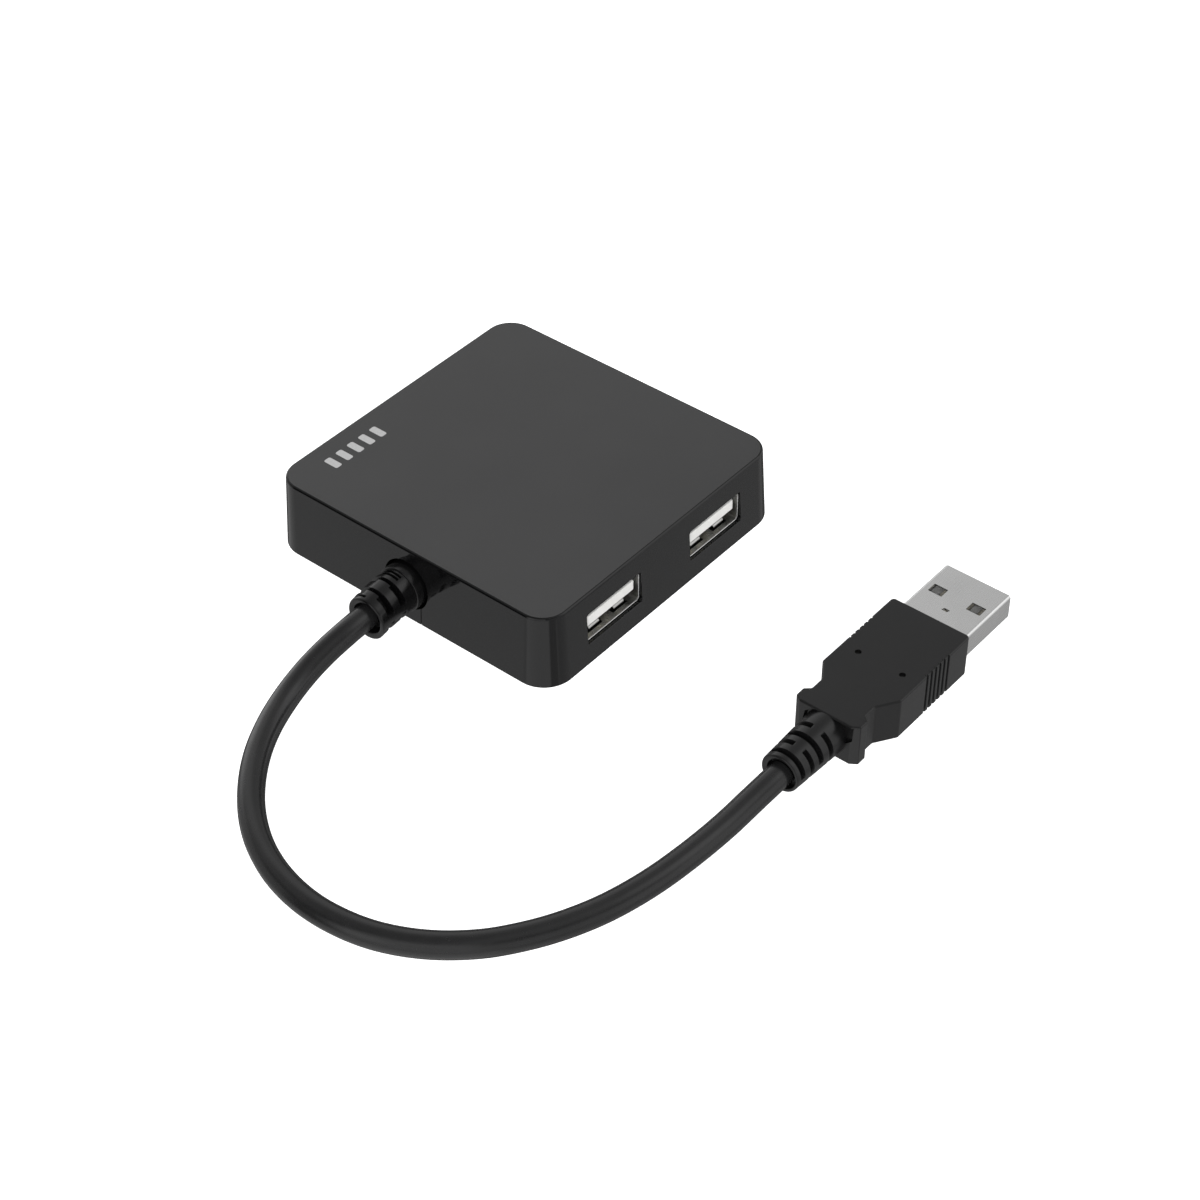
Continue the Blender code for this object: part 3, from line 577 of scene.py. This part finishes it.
def make_cover(mats):
    """Flat cover with the tab that closes the notch below the collar."""
    half_w, half_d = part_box("bottom_cover")[1].xy
    corner = TOP_CORNER_R + FLARE - WALL - 0.3 * MM
    rings = []
    for z, inset in ((0.0, 0.22), (0.05, 0.08), (0.2, 0.0), (1.5, 0.0), (1.6, 0.1)):
        pts = rounded_rect(2 * (half_w - inset * MM), 2 * (half_d - inset * MM),
                           corner - inset * MM, 16)
        rings.append([(x, y, z * MM) for x, y in pts])
    plate = loft("cover_plate", rings, (mats["cover"],))
    half = NOTCH_W / 2 - 0.15 * MM
    arc = []
    for k in range(17):
        x = half - 2 * half * k / 16
        arc.append((x, BOOT_Z - math.sqrt(NOTCH_R ** 2 - x ** 2)))
    pts = [(-half, 0.0), (half, 0.0)] + arc
    rings = []
    cz = sum(z for x, z in pts) / len(pts)
    for offset, shrink in ((0.0, 0.05), (0.05, 0.0), (1.4, 0.0)):
        ring = []
        for x, z in pts:
            sx = x * (1 - shrink * MM / half)
            sz = cz + (z - cz) * (1 - shrink / 1.5)
            ring.append((sx, -(TOP_D / 2 + lean(z)) + offset * MM, sz))
        rings.append(ring)
    rings.append([(x, -(half_d - 0.25 * MM), z) for x, z in pts])
    tab = loft("cover_tab", rings, (mats["side"],))
    cover = joined("case_cover", [plate, tab])
    smooth(cover)
    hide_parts("bottom_cover")
    return cover


# ---------------------------------------------------------------- receptacles

def turned(obj, side, row):
    """Move a receptacle piece from the +X face's middle to its own place."""
    for v in obj.data.vertices:
        v.co = (side * v.co.x, side * v.co.y + row * PORT_Y, v.co.z)


def port_ring(x, grow, radius):
    pts = rounded_rect(PORT_IN_W + 2 * grow, PORT_IN_H + 2 * grow, radius, 6)
    return [(x, a, PORT_Z + b) for a, b in pts]


def port_tube(mats):
    """Sheet shell of a receptacle with a rounded rim at its mouth."""
    back = PORT_FRONT - PORT_LEN
    half = SHEET / 2
    inner_r = 0.5 * MM
    rim = PORT_FRONT - half
    rings = [port_ring(back, SHEET, inner_r + SHEET), port_ring(rim, SHEET, inner_r + SHEET)]
    for k in range(1, 6):
        a = math.radians(180.0 * k / 6)
        grow = half + half * math.cos(a)
        rings.append(port_ring(rim + half * math.sin(a), grow, inner_r + grow))
    rings += [port_ring(rim, 0.0, inner_r), port_ring(back, 0.0, inner_r)]
    # The shell's inside and outside take the darker steel, painted shade inside the port; the
    # rounded rim at the mouth keeps the brighter plated steel.
    shell = loft("shell", rings, (mats["port"], mats["steel"]), closed=True)
    for poly in shell.data.polygons:
        poly.material_index = int(poly.center.x > PORT_FRONT - 0.6 * half)
    return shell


def spring(y, floor, mats):
    """Bent spring tongue of a receptacle, thinner along its two side edges."""
    path = [(PORT_FRONT + x * MM, floor + z * MM) for x, z in SPRING_PATH]
    outline = [(x, z + SPRING_HALF_T) for x, z in path]
    outline += [(x, z - SPRING_HALF_T) for x, z in path[::-1]]
    inset = 0.05 * MM
    rings = []
    for across, thickness in ((-SPRING_HALF_W, 0.4), (-SPRING_HALF_W + inset, 1.0),
                              (SPRING_HALF_W - inset, 1.0), (SPRING_HALF_W, 0.4)):
        ring = []
        for (x, z), (_, opposite) in zip(outline, outline[::-1]):
            mid = (z + opposite) / 2
            ring.append((x, y + across, mid + (z - mid) * thickness))
        rings.append(ring)
    # The spring takes the darker steel, painted shade inside the port.
    return loft("spring", rings, (mats["port"],))


def make_port_shell(number, side, row, mats):
    floor = PORT_Z - PORT_IN_H / 2
    shell = port_tube(mats)
    parts = [shell]
    for y in (-3.0 * MM, 3.0 * MM):
        low = (PORT_FRONT - SLOT_BACK, y - SLOT_HALF_W, floor - 1 * MM)
        high = (PORT_FRONT - SLOT_FRONT, y + SLOT_HALF_W, floor + 1 * MM)
        boolean(shell, box_mesh("slot", low, high))
        parts.append(spring(y, floor, mats))
    for edge in (-1, 1):
        mid = edge * (PORT_IN_W + SHEET) / 2
        parts.append(box_mesh("leg", (LEG_X[0] * MM, mid - SHEET / 2, LEG_FOOT * MM),
                              (LEG_X[1] * MM, mid + SHEET / 2, floor + 1.0 * MM),
                              (mats["port"],)))
    piece = joined("port_%d_case" % number, parts)
    turned(piece, side, row)
    smooth(piece)
    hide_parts("port_%d_shell" % number)
    return piece


def make_port_insulator(number, side, row, mats):
    """Rear block and tongue in one moulding, with a groove below the tongue for each contact."""
    outline = rounded_rect(PORT_IN_W - 0.2 * MM, PORT_IN_H - 0.2 * MM, 0.45 * MM, 4)
    rings = [[(x * MM, a, PORT_Z + b) for a, b in outline] for x in BLOCK_X]
    body = loft("port_%d_tongue" % number, rings, (mats["white"],))
    tongue = soft_box("tongue", [v * MM for v in TONGUE_LOW], [v * MM for v in TONGUE_HIGH],
                      0.18 * MM, (mats["white"],))
    boolean(body, tongue, "UNION")
    for y in CONTACT_Y:
        boolean(body, box_mesh("groove", (14.0 * MM, (y - 0.65) * MM, 5.9 * MM),
                               (27.35 * MM, (y + 0.65) * MM, 6.7 * MM)))
    turned(body, side, row)
    smooth(body, 28.0)
    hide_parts("port_%d_insulator" % number)
    return body


# ---------------------------------------------------------------- sleeves

def sleeve(name, cx, cz, profile, rows, mats, turns=180, root=0.0, sag=(0.0, 0.0),
           recess=(0.0, 0.0)):
    """Round sleeve with slots, about a line along Y.

    The profile lists (y, radius) in mm from the root to the tip and then into the recess. Each row
    of slots is (y, width, first angle, last angle, depth), in mm and degrees. The centre line
    droops by sag (x, z) from root to tip, and the recess is off centre by recess (x, z)."""
    tip = min(range(len(profile)), key=lambda i: profile[i][0])
    tip_y = profile[tip][0]
    outer = profile[:tip + 1]
    stations = [p[0] for p in outer]
    first, last = max(r[0] + r[1] for r in rows), min(r[0] - r[1] for r in rows)
    stations += list(np.arange(last, first, 0.3))
    soft = 0.07
    for y, width in {row[:2] for row in rows}:
        for edge in (y - width / 2, y + width / 2):
            stations += [edge - soft, edge - soft / 2, edge, edge + soft / 2, edge + soft]
    stations = {round(y, 3) for y in stations if tip_y <= y <= outer[0][0]}
    oy = np.array([p[0] for p in outer])[::-1]
    orad = np.array([p[1] for p in outer])[::-1]
    angles = np.linspace(0.0, 360.0, turns, endpoint=False)
    angle_soft = 1.6

    def step(x):
        t = np.clip(x, 0.0, 1.0)
        return t * t * (3 - 2 * t)

    def radii(y):
        base = float(np.interp(y, oy, orad))
        sunk = np.zeros(turns)
        for ry, width, deg0, deg1, depth in rows:
            along = step((width / 2 + soft - abs(y - ry)) / (2 * soft))
            if along <= 0.0:
                continue
            mid = (deg0 + deg1) / 2
            half = (deg1 - deg0) / 2
            away = np.abs((angles - mid + 180.0) % 360.0 - 180.0)
            around = step((half + angle_soft - away) / (2 * angle_soft))
            sunk = np.maximum(sunk, depth * along * around)
        return base - sunk

    def around_line(y, rr, off=(0.0, 0.0)):
        along = min(1.0, max(0.0, (y - root) / (tip_y - root))) ** 2
        mx = cx + sag[0] * along + off[0]
        mz = cz + sag[1] * along + off[1]
        return [((mx + r * math.cos(math.radians(a))) * MM, y * MM,
                 (mz + r * math.sin(math.radians(a))) * MM) for r, a in zip(rr, angles)]
    rings = [around_line(y, radii(y)) for y in sorted(stations, reverse=True)]
    rings += [around_line(y, [radius] * turns, recess) for y, radius in profile[tip + 1:]]
    return loft(name, rings, mats)


def rounded_tip(y, radius, fillet, steps=5):
    """Profile points that round the end of a sleeve of the given radius at y."""
    pts = []
    for k in range(steps + 1):
        a = math.radians(90.0 * k / steps)
        pts.append((y + fillet - fillet * math.sin(a), radius - fillet + fillet * math.cos(a)))
    return pts


def make_boot(mats):
    """Strain relief of the lead: a hub in the notch, a collar, a slotted sleeve and a recess."""
    profile = [(-25.4, 3.4), (-26.69, 3.4), (-26.7, 4.0)]
    profile += [(-28.0, 4.02), (-30.16, 4.02), (-30.23, 4.0), (-30.27, 3.94), (-30.28, 3.80)]
    profile += rounded_tip(-38.0, 3.66, 0.28)
    profile += [(-38.0, 2.80), (-37.96, 2.73), (-37.85, 2.70), (-36.6, 2.62)]
    rows = []
    for turn in (0.0, 180.0):
        for y_mid, width in ((-35.85, 1.25), (-33.08, 1.05)):
            rows.append((y_mid, width, 17.0 + turn, 69.0 + turn, 1.45))
            rows.append((y_mid + width / 2 - 0.30, 0.56, 60.0 + turn, 160.0 + turn, 1.2))
            rows.append((y_mid, width, 116.0 + turn, 172.0 + turn, 0.95))
        rows.append((-31.55, 0.34, 72.0 + turn, 158.0 + turn, 0.9))
        rows.append((-30.90, 0.30, 72.0 + turn, 158.0 + turn, 0.9))
        rows.append((-37.15, 0.34, 98.0 + turn, 158.0 + turn, 0.45))
    boot = sleeve("lead_boot", 0.0, BOOT_Z / MM, profile, rows, (mats["boot"],), turns=216,
                  root=-30.4, sag=(0.2, -0.65), recess=(0.28, 0.33))
    smooth(boot, 50.0, weighted=False)
    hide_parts("cable_boot")
    return boot


def make_plug_sleeve(mats):
    """Slotted strain relief between the lead and the grip."""
    profile = [(-6.0, 3.0), (-10.5, 3.77)]
    profile += rounded_tip(-23.05, 3.27, 0.3)
    profile += [(-23.05, 2.62), (-23.0, 2.54), (-22.85, 2.5), (-22.05, 2.45)]
    rows = []
    for y_mid, width in ((-17.45, 0.95), (-21.65, 0.85)):
        rows += [(y_mid, width, 2.0, 150.0, 1.1), (y_mid, width, 182.0, 330.0, 1.1)]
    for y_mid, width in ((-15.1, 0.85), (-19.5, 0.8)):
        rows += [(y_mid, width, -87.0, 59.0, 1.1), (y_mid, width, 93.0, 239.0, 1.1)]
    piece = sleeve("plug_sleeve", PLUG_X / MM, PLUG_Z / MM, profile, rows, (mats["mould"],),
                   recess=(0.35, 0.12))
    smooth(piece, 50.0, weighted=False)
    return piece


# ---------------------------------------------------------------- lead

def smooth_route(route, step):
    """Evenly spaced points on a smooth curve through the route."""
    pts = np.array(route, float)
    full = np.vstack([2 * pts[0] - pts[1], pts, 2 * pts[-1] - pts[-2]])
    dense = []
    for k in range(1, len(full) - 2):
        p0, p1, p2, p3 = full[k - 1:k + 3]
        for t in np.linspace(0.0, 1.0, 24, endpoint=False):
            dense.append(0.5 * (2 * p1 + (p2 - p0) * t + (2 * p0 - 5 * p1 + 4 * p2 - p3) * t * t
                                + (3 * p1 - p0 - 3 * p2 + p3) * t ** 3))
    dense.append(pts[-1])
    dense = np.array(dense)
    run = np.concatenate([[0.0], np.cumsum(np.linalg.norm(np.diff(dense, axis=0), axis=1))])
    count = int(round(run[-1] / step)) + 1
    at = np.linspace(0.0, run[-1], count)
    return np.stack([np.interp(at, run, dense[:, i]) for i in range(3)], axis=1)


def cord_route():
    """Route of the lead's centre line from the boot's recess to the plug's sleeve."""
    rest = CORD_D / 2 + 0.02 * MM
    droop = [(0.0, -37.2, 6.2), (-0.05, -42.1, 5.75), (-0.45, -46.6, 4.6), (-0.5, -51.1, 3.3),
             (0.3, -56.0, 2.35)]
    loop = [(2.2, -61.3), (5.0, -66.5), (8.6, -71.3), (12.9, -75.6), (17.7, -79.0), (22.9, -81.4),
            (28.0, -82.7), (32.9, -83.1), (37.6, -82.7), (41.9, -81.7), (45.8, -80.1), (49.4, -78.0),
            (52.6, -75.5), (55.5, -72.6), (58.0, -69.3), (60.2, -65.8), (62.1, -62.0), (63.7, -57.9),
            (64.9, -53.6), (65.8, -49.1), (66.4, -44.4), (66.8, -39.4)]
    rise = [(67.1, -34.3, 2.25), (67.35, -29.2, 2.8), (67.65, -24.8, 3.4), (67.75, -22.35, 3.6)]
    path = droop + [(x, y, rest / MM) for x, y in loop] + rise
    return [(x * MM, y * MM, z * MM) for x, y, z in path]


def make_cord(mats):
    points = smooth_route(cord_route(), 0.8 * MM)
    curve = bpy.data.curves.new("lead_cord", "CURVE")
    curve.dimensions = "3D"
    curve.bevel_depth = CORD_D / 2
    curve.bevel_resolution = 8
    curve.use_fill_caps = True
    spline = curve.splines.new("POLY")
    spline.points.add(len(points) - 1)
    for k, p in enumerate(points):
        spline.points[k].co = (*p, 1.0)
    spline.use_smooth = True
    curve.materials.append(mats["cord"])
    obj = bpy.data.objects.new("lead_cord", curve)
    bpy.context.scene.collection.objects.link(obj)
    length = float(np.linalg.norm(np.diff(points, axis=0), axis=1).sum())
    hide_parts("cable")
    return obj, length, points[0]


# ---------------------------------------------------------------- plug

def offset_outline(pts, inset):
    """Inward offset of a counter-clockwise outline by mitred edges."""
    out = []
    n = len(pts)
    for i in range(n):
        p0, p1, p2 = (Vector(pts[(i + k) % n]) for k in (-1, 0, 1))
        d0 = (p1 - p0).normalized()
        d1 = (p2 - p1).normalized()
        n0 = Vector((-d0.y, d0.x))
        n1 = Vector((-d1.y, d1.x))
        mid = (n0 + n1).normalized()
        reach = inset / max(0.35, mid.dot(n0))
        out.append((p1.x + mid.x * reach, p1.y + mid.y * reach))
    return out


def rounded_outline(pts, radii, steps=6):
    """Replace each corner of a counter-clockwise outline by an arc of its radius."""
    out = []
    n = len(pts)
    for i in range(n):
        p0, p1, p2 = (Vector(pts[(i + k) % n]) for k in (-1, 0, 1))
        a = (p0 - p1).normalized()
        b = (p2 - p1).normalized()
        turn = a.angle(b)
        cut = radii[i] / math.tan(turn / 2)
        start, end = p1 + a * cut, p1 + b * cut
        centre = p1 + (a + b).normalized() * (radii[i] / math.sin(turn / 2))
        s = start - centre
        e = end - centre
        sweep = s.angle_signed(e) * -1
        for k in range(steps + 1):
            t = sweep * k / steps
            c, d = math.cos(t), math.sin(t)
            out.append((centre.x + s.x * c - s.y * d, centre.y + s.x * d + s.y * c))
    return out


def grip_body(mats):
    """Solid grip with rounded corners and edges."""
    left = [(-x, y) for x, y in GRIP_SIDE[::-1]]
    corners = (GRIP_SIDE + left)[::-1]
    radii = (GRIP_RADII + GRIP_RADII[::-1])[::-1]
    outline = [(PLUG_X / MM + x, y) for x, y in rounded_outline(corners, radii)]
    rings = [[(x * MM, y * MM, z * MM) for x, y in offset_outline(outline, inset)]
             for z, inset in rounded_ends(0.0, GRIP_H, GRIP_EDGE, 5)]
    return loft("plug_grip", rings, (mats["mould"],))


def groove_cutter(side, y):
    section = [(PLUG_X + side * (GRIP_HALF_W + dx) * MM, (y + dy) * MM) for dx, dy in GROOVE]
    return loft("groove", [[(a, b, z * MM) for a, b in section] for z in (-1.0, 9.0)])


def make_grip(mats):
    body = grip_body(mats)
    boolean(body, joined("grooves", [groove_cutter(side, y) for side in (-1, 1)
                                     for y in GROOVE_Y]))
    pocket = rounded_rect(PLUG_T + 0.16 * MM, PLUG_W + 0.16 * MM, 0.62 * MM, 5)
    boolean(body, loft("pocket", [[(PLUG_X + b, y * MM, PLUG_Z + a) for a, b in pocket]
                                  for y in (17.0, 9.5)]))
    rings = []
    for y, grow in ((-14.0, 1.0), (-11.55, 1.0), (-11.4, 0.95)):
        rings.append([(PLUG_X + x * grow * MM, y * MM, PLUG_Z + (z - PLUG_Z / MM) * grow * MM)
                      for x, z in REAR_RECESS])
    boolean(body, loft("rear", rings))
    for x in (-GATE_X, GATE_X):
        gate = circle(GATE_R * MM, 24, PLUG_X + x * MM, GATE_Y * MM)
        boolean(body, loft("gate", [[(a, b, z * MM) for a, b in gate] for z in (7.2, 9.0)]))
    smooth(body, 30.0)
    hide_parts("plug_overmould")
    return body


def plug_ring(y, grow, radius):
    pts = rounded_rect(PLUG_T + 2 * grow * MM, PLUG_W + 2 * grow * MM, radius * MM, 6)
    return [(PLUG_X + b, y * MM, PLUG_Z + a) for a, b in pts]


def make_plug_shell(mats):
    """Folded sheet shell with a rounded rim, two latch holes, a stamped mark and a seam below."""
    tip = PLUG_TIP / MM
    rings = [plug_ring(PLUG_ROOT, 0.0, 0.5), plug_ring(tip - 0.12, 0.0, 0.5)]
    for y, grow in ((tip - 0.04, -0.03), (tip, -0.09), (tip, -0.20), (tip - 0.10, -0.27)):
        rings.append(plug_ring(y, grow, 0.5 + grow))
    rings += [plug_ring(tip - 0.35, -PLUG_SHEET, 0.2), plug_ring(PLUG_ROOT, -PLUG_SHEET, 0.2)]
    shell = loft("plug_case", rings, (mats["steel"],), closed=True)
    for x in (-LATCH_X, LATCH_X):
        hole = [(PLUG_X + x * MM + a, LATCH_Y * MM + b)
                for a, b in rounded_rect(LATCH_W * MM, LATCH_L * MM, 0.12 * MM, 4)]
        boolean(shell, loft("hole", [[(a, b, z * MM) for a, b in hole] for z in (-1.0, 9.0)]))
    stamp = [(PLUG_X + x * MM, y * MM) for x, y in STAMP]
    boolean(shell, loft("stamp", [[(a, b, z * MM) for a, b in stamp] for z in (5.70, 7.0)]))
    boolean(shell, box_mesh("seam", (PLUG_X - 0.04 * MM, 9.0 * MM, 1.0 * MM),
                            (PLUG_X + 0.04 * MM, 30.0 * MM, 1.63 * MM)))
    smooth(shell, 30.0)
    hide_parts("plug_shell")
    return shell


# ---------------------------------------------------------------- print

def make_print(mats):
    """Generic printed mark: a row of short bars along the left edge of the top face."""
    parts = []
    for y in BAR_Y:
        bar = [(BAR_X * MM + a, y * MM + b)
               for a, b in rounded_rect(BAR_SIZE[0] * MM, BAR_SIZE[1] * MM, 0.35 * MM, 6)]
        heights = (CASE_H - 0.05 * MM, CASE_H + 0.012 * MM)
        parts.append(loft("bar", [[(a, b, z) for a, b in bar] for z in heights], (mats["ink"],)))
    mark = joined("case_print", parts)
    smooth(mark)
    return mark


# ---------------------------------------------------------------- assembly

mats = make_materials()

# The plug's insulator takes the grey copy of the white insulator, painted shade inside the plug.
FINISH = {
    "circuit_board": "board", "hub_controller": "chip", "crystal": "can", "bulk_capacitor": "can",
    "resettable_fuse": "fuse", "board_screw_1": "can", "board_screw_2": "can",
    "plug_insulator": "shaded_insulator", "lead_red": "wire_red", "lead_white": "wire_white",
    "lead_green": "wire_green", "lead_black": "wire_black",
}
for node in frame["nodes"]:
    key = FINISH.get(node, "contact" if "contact" in node else None)
    if key is None:
        continue
    obj = frame["nodes"][node]
    for index in range(len(obj.data.materials)):
        obj.data.materials[index] = mats[key]

pieces = [make_case(mats), make_cover(mats)]
number = 0
for side in (1, -1):
    for row in (-1, 1):
        number += 1
        pieces.append(make_port_shell(number, side, row, mats))
        pieces.append(make_port_insulator(number, side, row, mats))
boot = make_boot(mats)
grip = make_grip(mats)
plug_sleeve = make_plug_sleeve(mats)
plug_case = make_plug_shell(mats)
cord, cord_length, cord_start = make_cord(mats)
pieces += [boot, grip, plug_sleeve, plug_case, cord, make_print(mats)]
for piece in pieces:
    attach(piece, BODY)

carried = [boot, grip, plug_sleeve, plug_case]
carried += [frame["nodes"][n] for n in frame["nodes"] if n.startswith("plug_") and
            n not in ("plug_overmould", "plug_shell")]


# ---------------------------------------------------------------- stage

def white_paper(name, glow):
    return Shade(name, (0.8, 0.8, 0.8), 0.9).set(Emission_Color=(1.0, 1.0, 1.0, 1.0),
                                                 Emission_Strength=glow).mat


def make_floor():
    """White floor and backdrop. Reflections see the studio beyond them instead, which is duller."""
    mesh = bpy.data.meshes.new("floor")
    steps = 96
    mesh.from_pydata([(x, y, FLOOR_Z) for x, y in circle(BACKDROP_R, steps)], [],
                     [tuple(range(steps))])
    mesh.materials.append(white_paper("floor_paper", 0.50))
    floor = bpy.data.objects.new("floor", mesh)
    bpy.context.scene.collection.objects.link(floor)
    floor.visible_glossy = False
    rings = []
    for k in range(25):
        tilt = math.radians(90.0 * k / 25)
        rings.append([(x, y, BACKDROP_R * math.sin(tilt))
                      for x, y in circle(BACKDROP_R * math.cos(tilt), steps)])
    dome = loft("backdrop", rings, (white_paper("backdrop_paper", 1.0),))
    dome.visible_glossy = False
    dome.visible_diffuse = False
    dome.visible_shadow = False


class Studio:
    """World shader whose level depends on direction: sky, soft panels, horizon glow and ground."""

    def __init__(self):
        self.world = bpy.data.worlds.new("studio")
        self.world.use_nodes = True
        self.nodes = self.world.node_tree.nodes
        self.links = self.world.node_tree.links
        self.direction = self.nodes.new("ShaderNodeTexCoord").outputs["Generated"]
        axes = self.nodes.new("ShaderNodeSeparateXYZ")
        self.links.new(self.direction, axes.inputs["Vector"])
        self.height = axes.outputs["Z"]
        turn = self.math("ARCTAN2", axes.outputs["Y"], axes.outputs["X"])
        self.azimuth = self.math("MULTIPLY", turn, 180.0 / math.pi)

    def math(self, operation, a, b):
        node = self.nodes.new("ShaderNodeMath")
        node.operation = operation
        for socket, value in zip(node.inputs, (a, b)):
            if isinstance(value, float):
                socket.default_value = value
            else:
                self.links.new(value, socket)
        return node.outputs["Value"]

    def fade(self, value, start, end, low=0.0, high=1.0):
        node = self.nodes.new("ShaderNodeMapRange")
        node.interpolation_type = "SMOOTHSTEP"
        node.inputs["From Min"].default_value = start
        node.inputs["From Max"].default_value = end
        node.inputs["To Min"].default_value = low
        node.inputs["To Max"].default_value = high
        self.links.new(value, node.inputs["Value"])
        return node.outputs["Result"]

    def toward(self, azimuth, elevation):
        az, el = math.radians(azimuth), math.radians(elevation)
        node = self.nodes.new("ShaderNodeVectorMath")
        node.operation = "DOT_PRODUCT"
        node.inputs[1].default_value = (math.cos(az) * math.cos(el), math.sin(az) * math.cos(el),
                                        math.sin(el))
        self.links.new(self.direction, node.inputs[0])
        return node.outputs["Value"]

    def sector(self, start, end, soft=3.0):
        """1 inside a range of azimuth, 0 outside it."""
        rise = self.fade(self.azimuth, start - soft, start + soft)
        fall = self.fade(self.azimuth, end - soft, end + soft, 1.0, 0.0)
        return self.math("MULTIPLY", rise, fall)


def make_world():
    studio = Studio()
    sky = studio.fade(studio.toward(*SKY_CENTRE), 0.02, 0.62, 0.0, SKY)
    total = studio.math("MULTIPLY", sky, studio.fade(studio.height, 0.02, 0.30))
    for azimuth, elevation, half_angle, level in PANELS:
        edge = math.cos(math.radians(half_angle))
        glow = studio.fade(studio.toward(azimuth, elevation), edge, 1.0, 0.0, level)
        total = studio.math("ADD", total, glow)
    ground = studio.fade(studio.height, -0.42, -0.26, GROUND, 0.0)
    gap = studio.math("MULTIPLY", studio.sector(-29.0, -4.0, 2.0),
                      studio.fade(studio.height, -0.66, -0.60))
    changes = [(gap, -0.38)]
    changes += [(studio.sector(start, end, soft), change)
                for start, end, soft, change in GROUND_SECTORS]
    for area, change in changes:
        scaled = studio.math("ADD", 1.0, studio.math("MULTIPLY", area, change))
        ground = studio.math("MULTIPLY", ground, scaled)
    total = studio.math("ADD", total, ground)
    rise = studio.fade(studio.height, -0.40, -0.20)
    for start, end, soft, top, level in HORIZON:
        glow = studio.fade(studio.height, top, top + 0.30, level, 0.0)
        band = studio.math("MULTIPLY", studio.math("MULTIPLY", rise, glow),
                           studio.sector(start, end, soft))
        total = studio.math("ADD", total, band)
    background = studio.nodes["Background"]
    background.inputs["Color"].default_value = (1.0, 1.0, 1.0, 1.0)
    studio.links.new(total, background.inputs["Strength"])
    bpy.context.scene.world = studio.world


def area_light(name, location, size_x, size_y, power):
    light = bpy.data.lights.new(name, "AREA")
    light.shape = "RECTANGLE"
    light.size = size_x
    light.size_y = size_y
    light.energy = power
    obj = bpy.data.objects.new(name, light)
    bpy.context.scene.collection.objects.link(obj)
    obj.location = location
    obj.rotation_mode = "QUATERNION"
    obj.rotation_quaternion = (Vector(location) - Vector(LIGHT_TARGET)).to_track_quat("Z", "Y")
    obj.visible_glossy = False


def make_camera():
    """Camera on a sphere about its target: azimuth from -Y towards +X, elevation, and roll."""
    azimuth, elevation, roll = (math.radians(a) for a in CAMERA_ANGLES)
    back = Vector((math.sin(azimuth) * math.cos(elevation),
                   -math.cos(azimuth) * math.cos(elevation), math.sin(elevation)))
    right = (-back).cross(Vector((0, 0, 1))).normalized()
    up = right.cross(-back)
    turned_right = right * math.cos(roll) + up * math.sin(roll)
    turned_up = up * math.cos(roll) - right * math.sin(roll)
    data = bpy.data.cameras.new("camera")
    data.sensor_fit = "HORIZONTAL"
    data.sensor_width = SENSOR_W
    data.lens = SENSOR_W * CAMERA_ZOOM
    data.clip_start = 0.01
    data.clip_end = 20.0
    camera = bpy.data.objects.new("camera", data)
    bpy.context.scene.collection.objects.link(camera)
    axes = Matrix((turned_right, turned_up, back)).transposed().to_4x4()
    camera.matrix_world = Matrix.Translation(CAMERA_TARGET + back * CAMERA_DISTANCE) @ axes
    bpy.context.scene.camera = camera


make_floor()
make_camera()
area_light("key", (-0.45, 0.40, 0.80), 0.7, 0.7, 2.5)
area_light("fill", (0.55, -0.6, 0.6), 0.7, 0.5, 5.5)
make_world()
bpy.context.scene.view_settings.view_transform = "Standard"
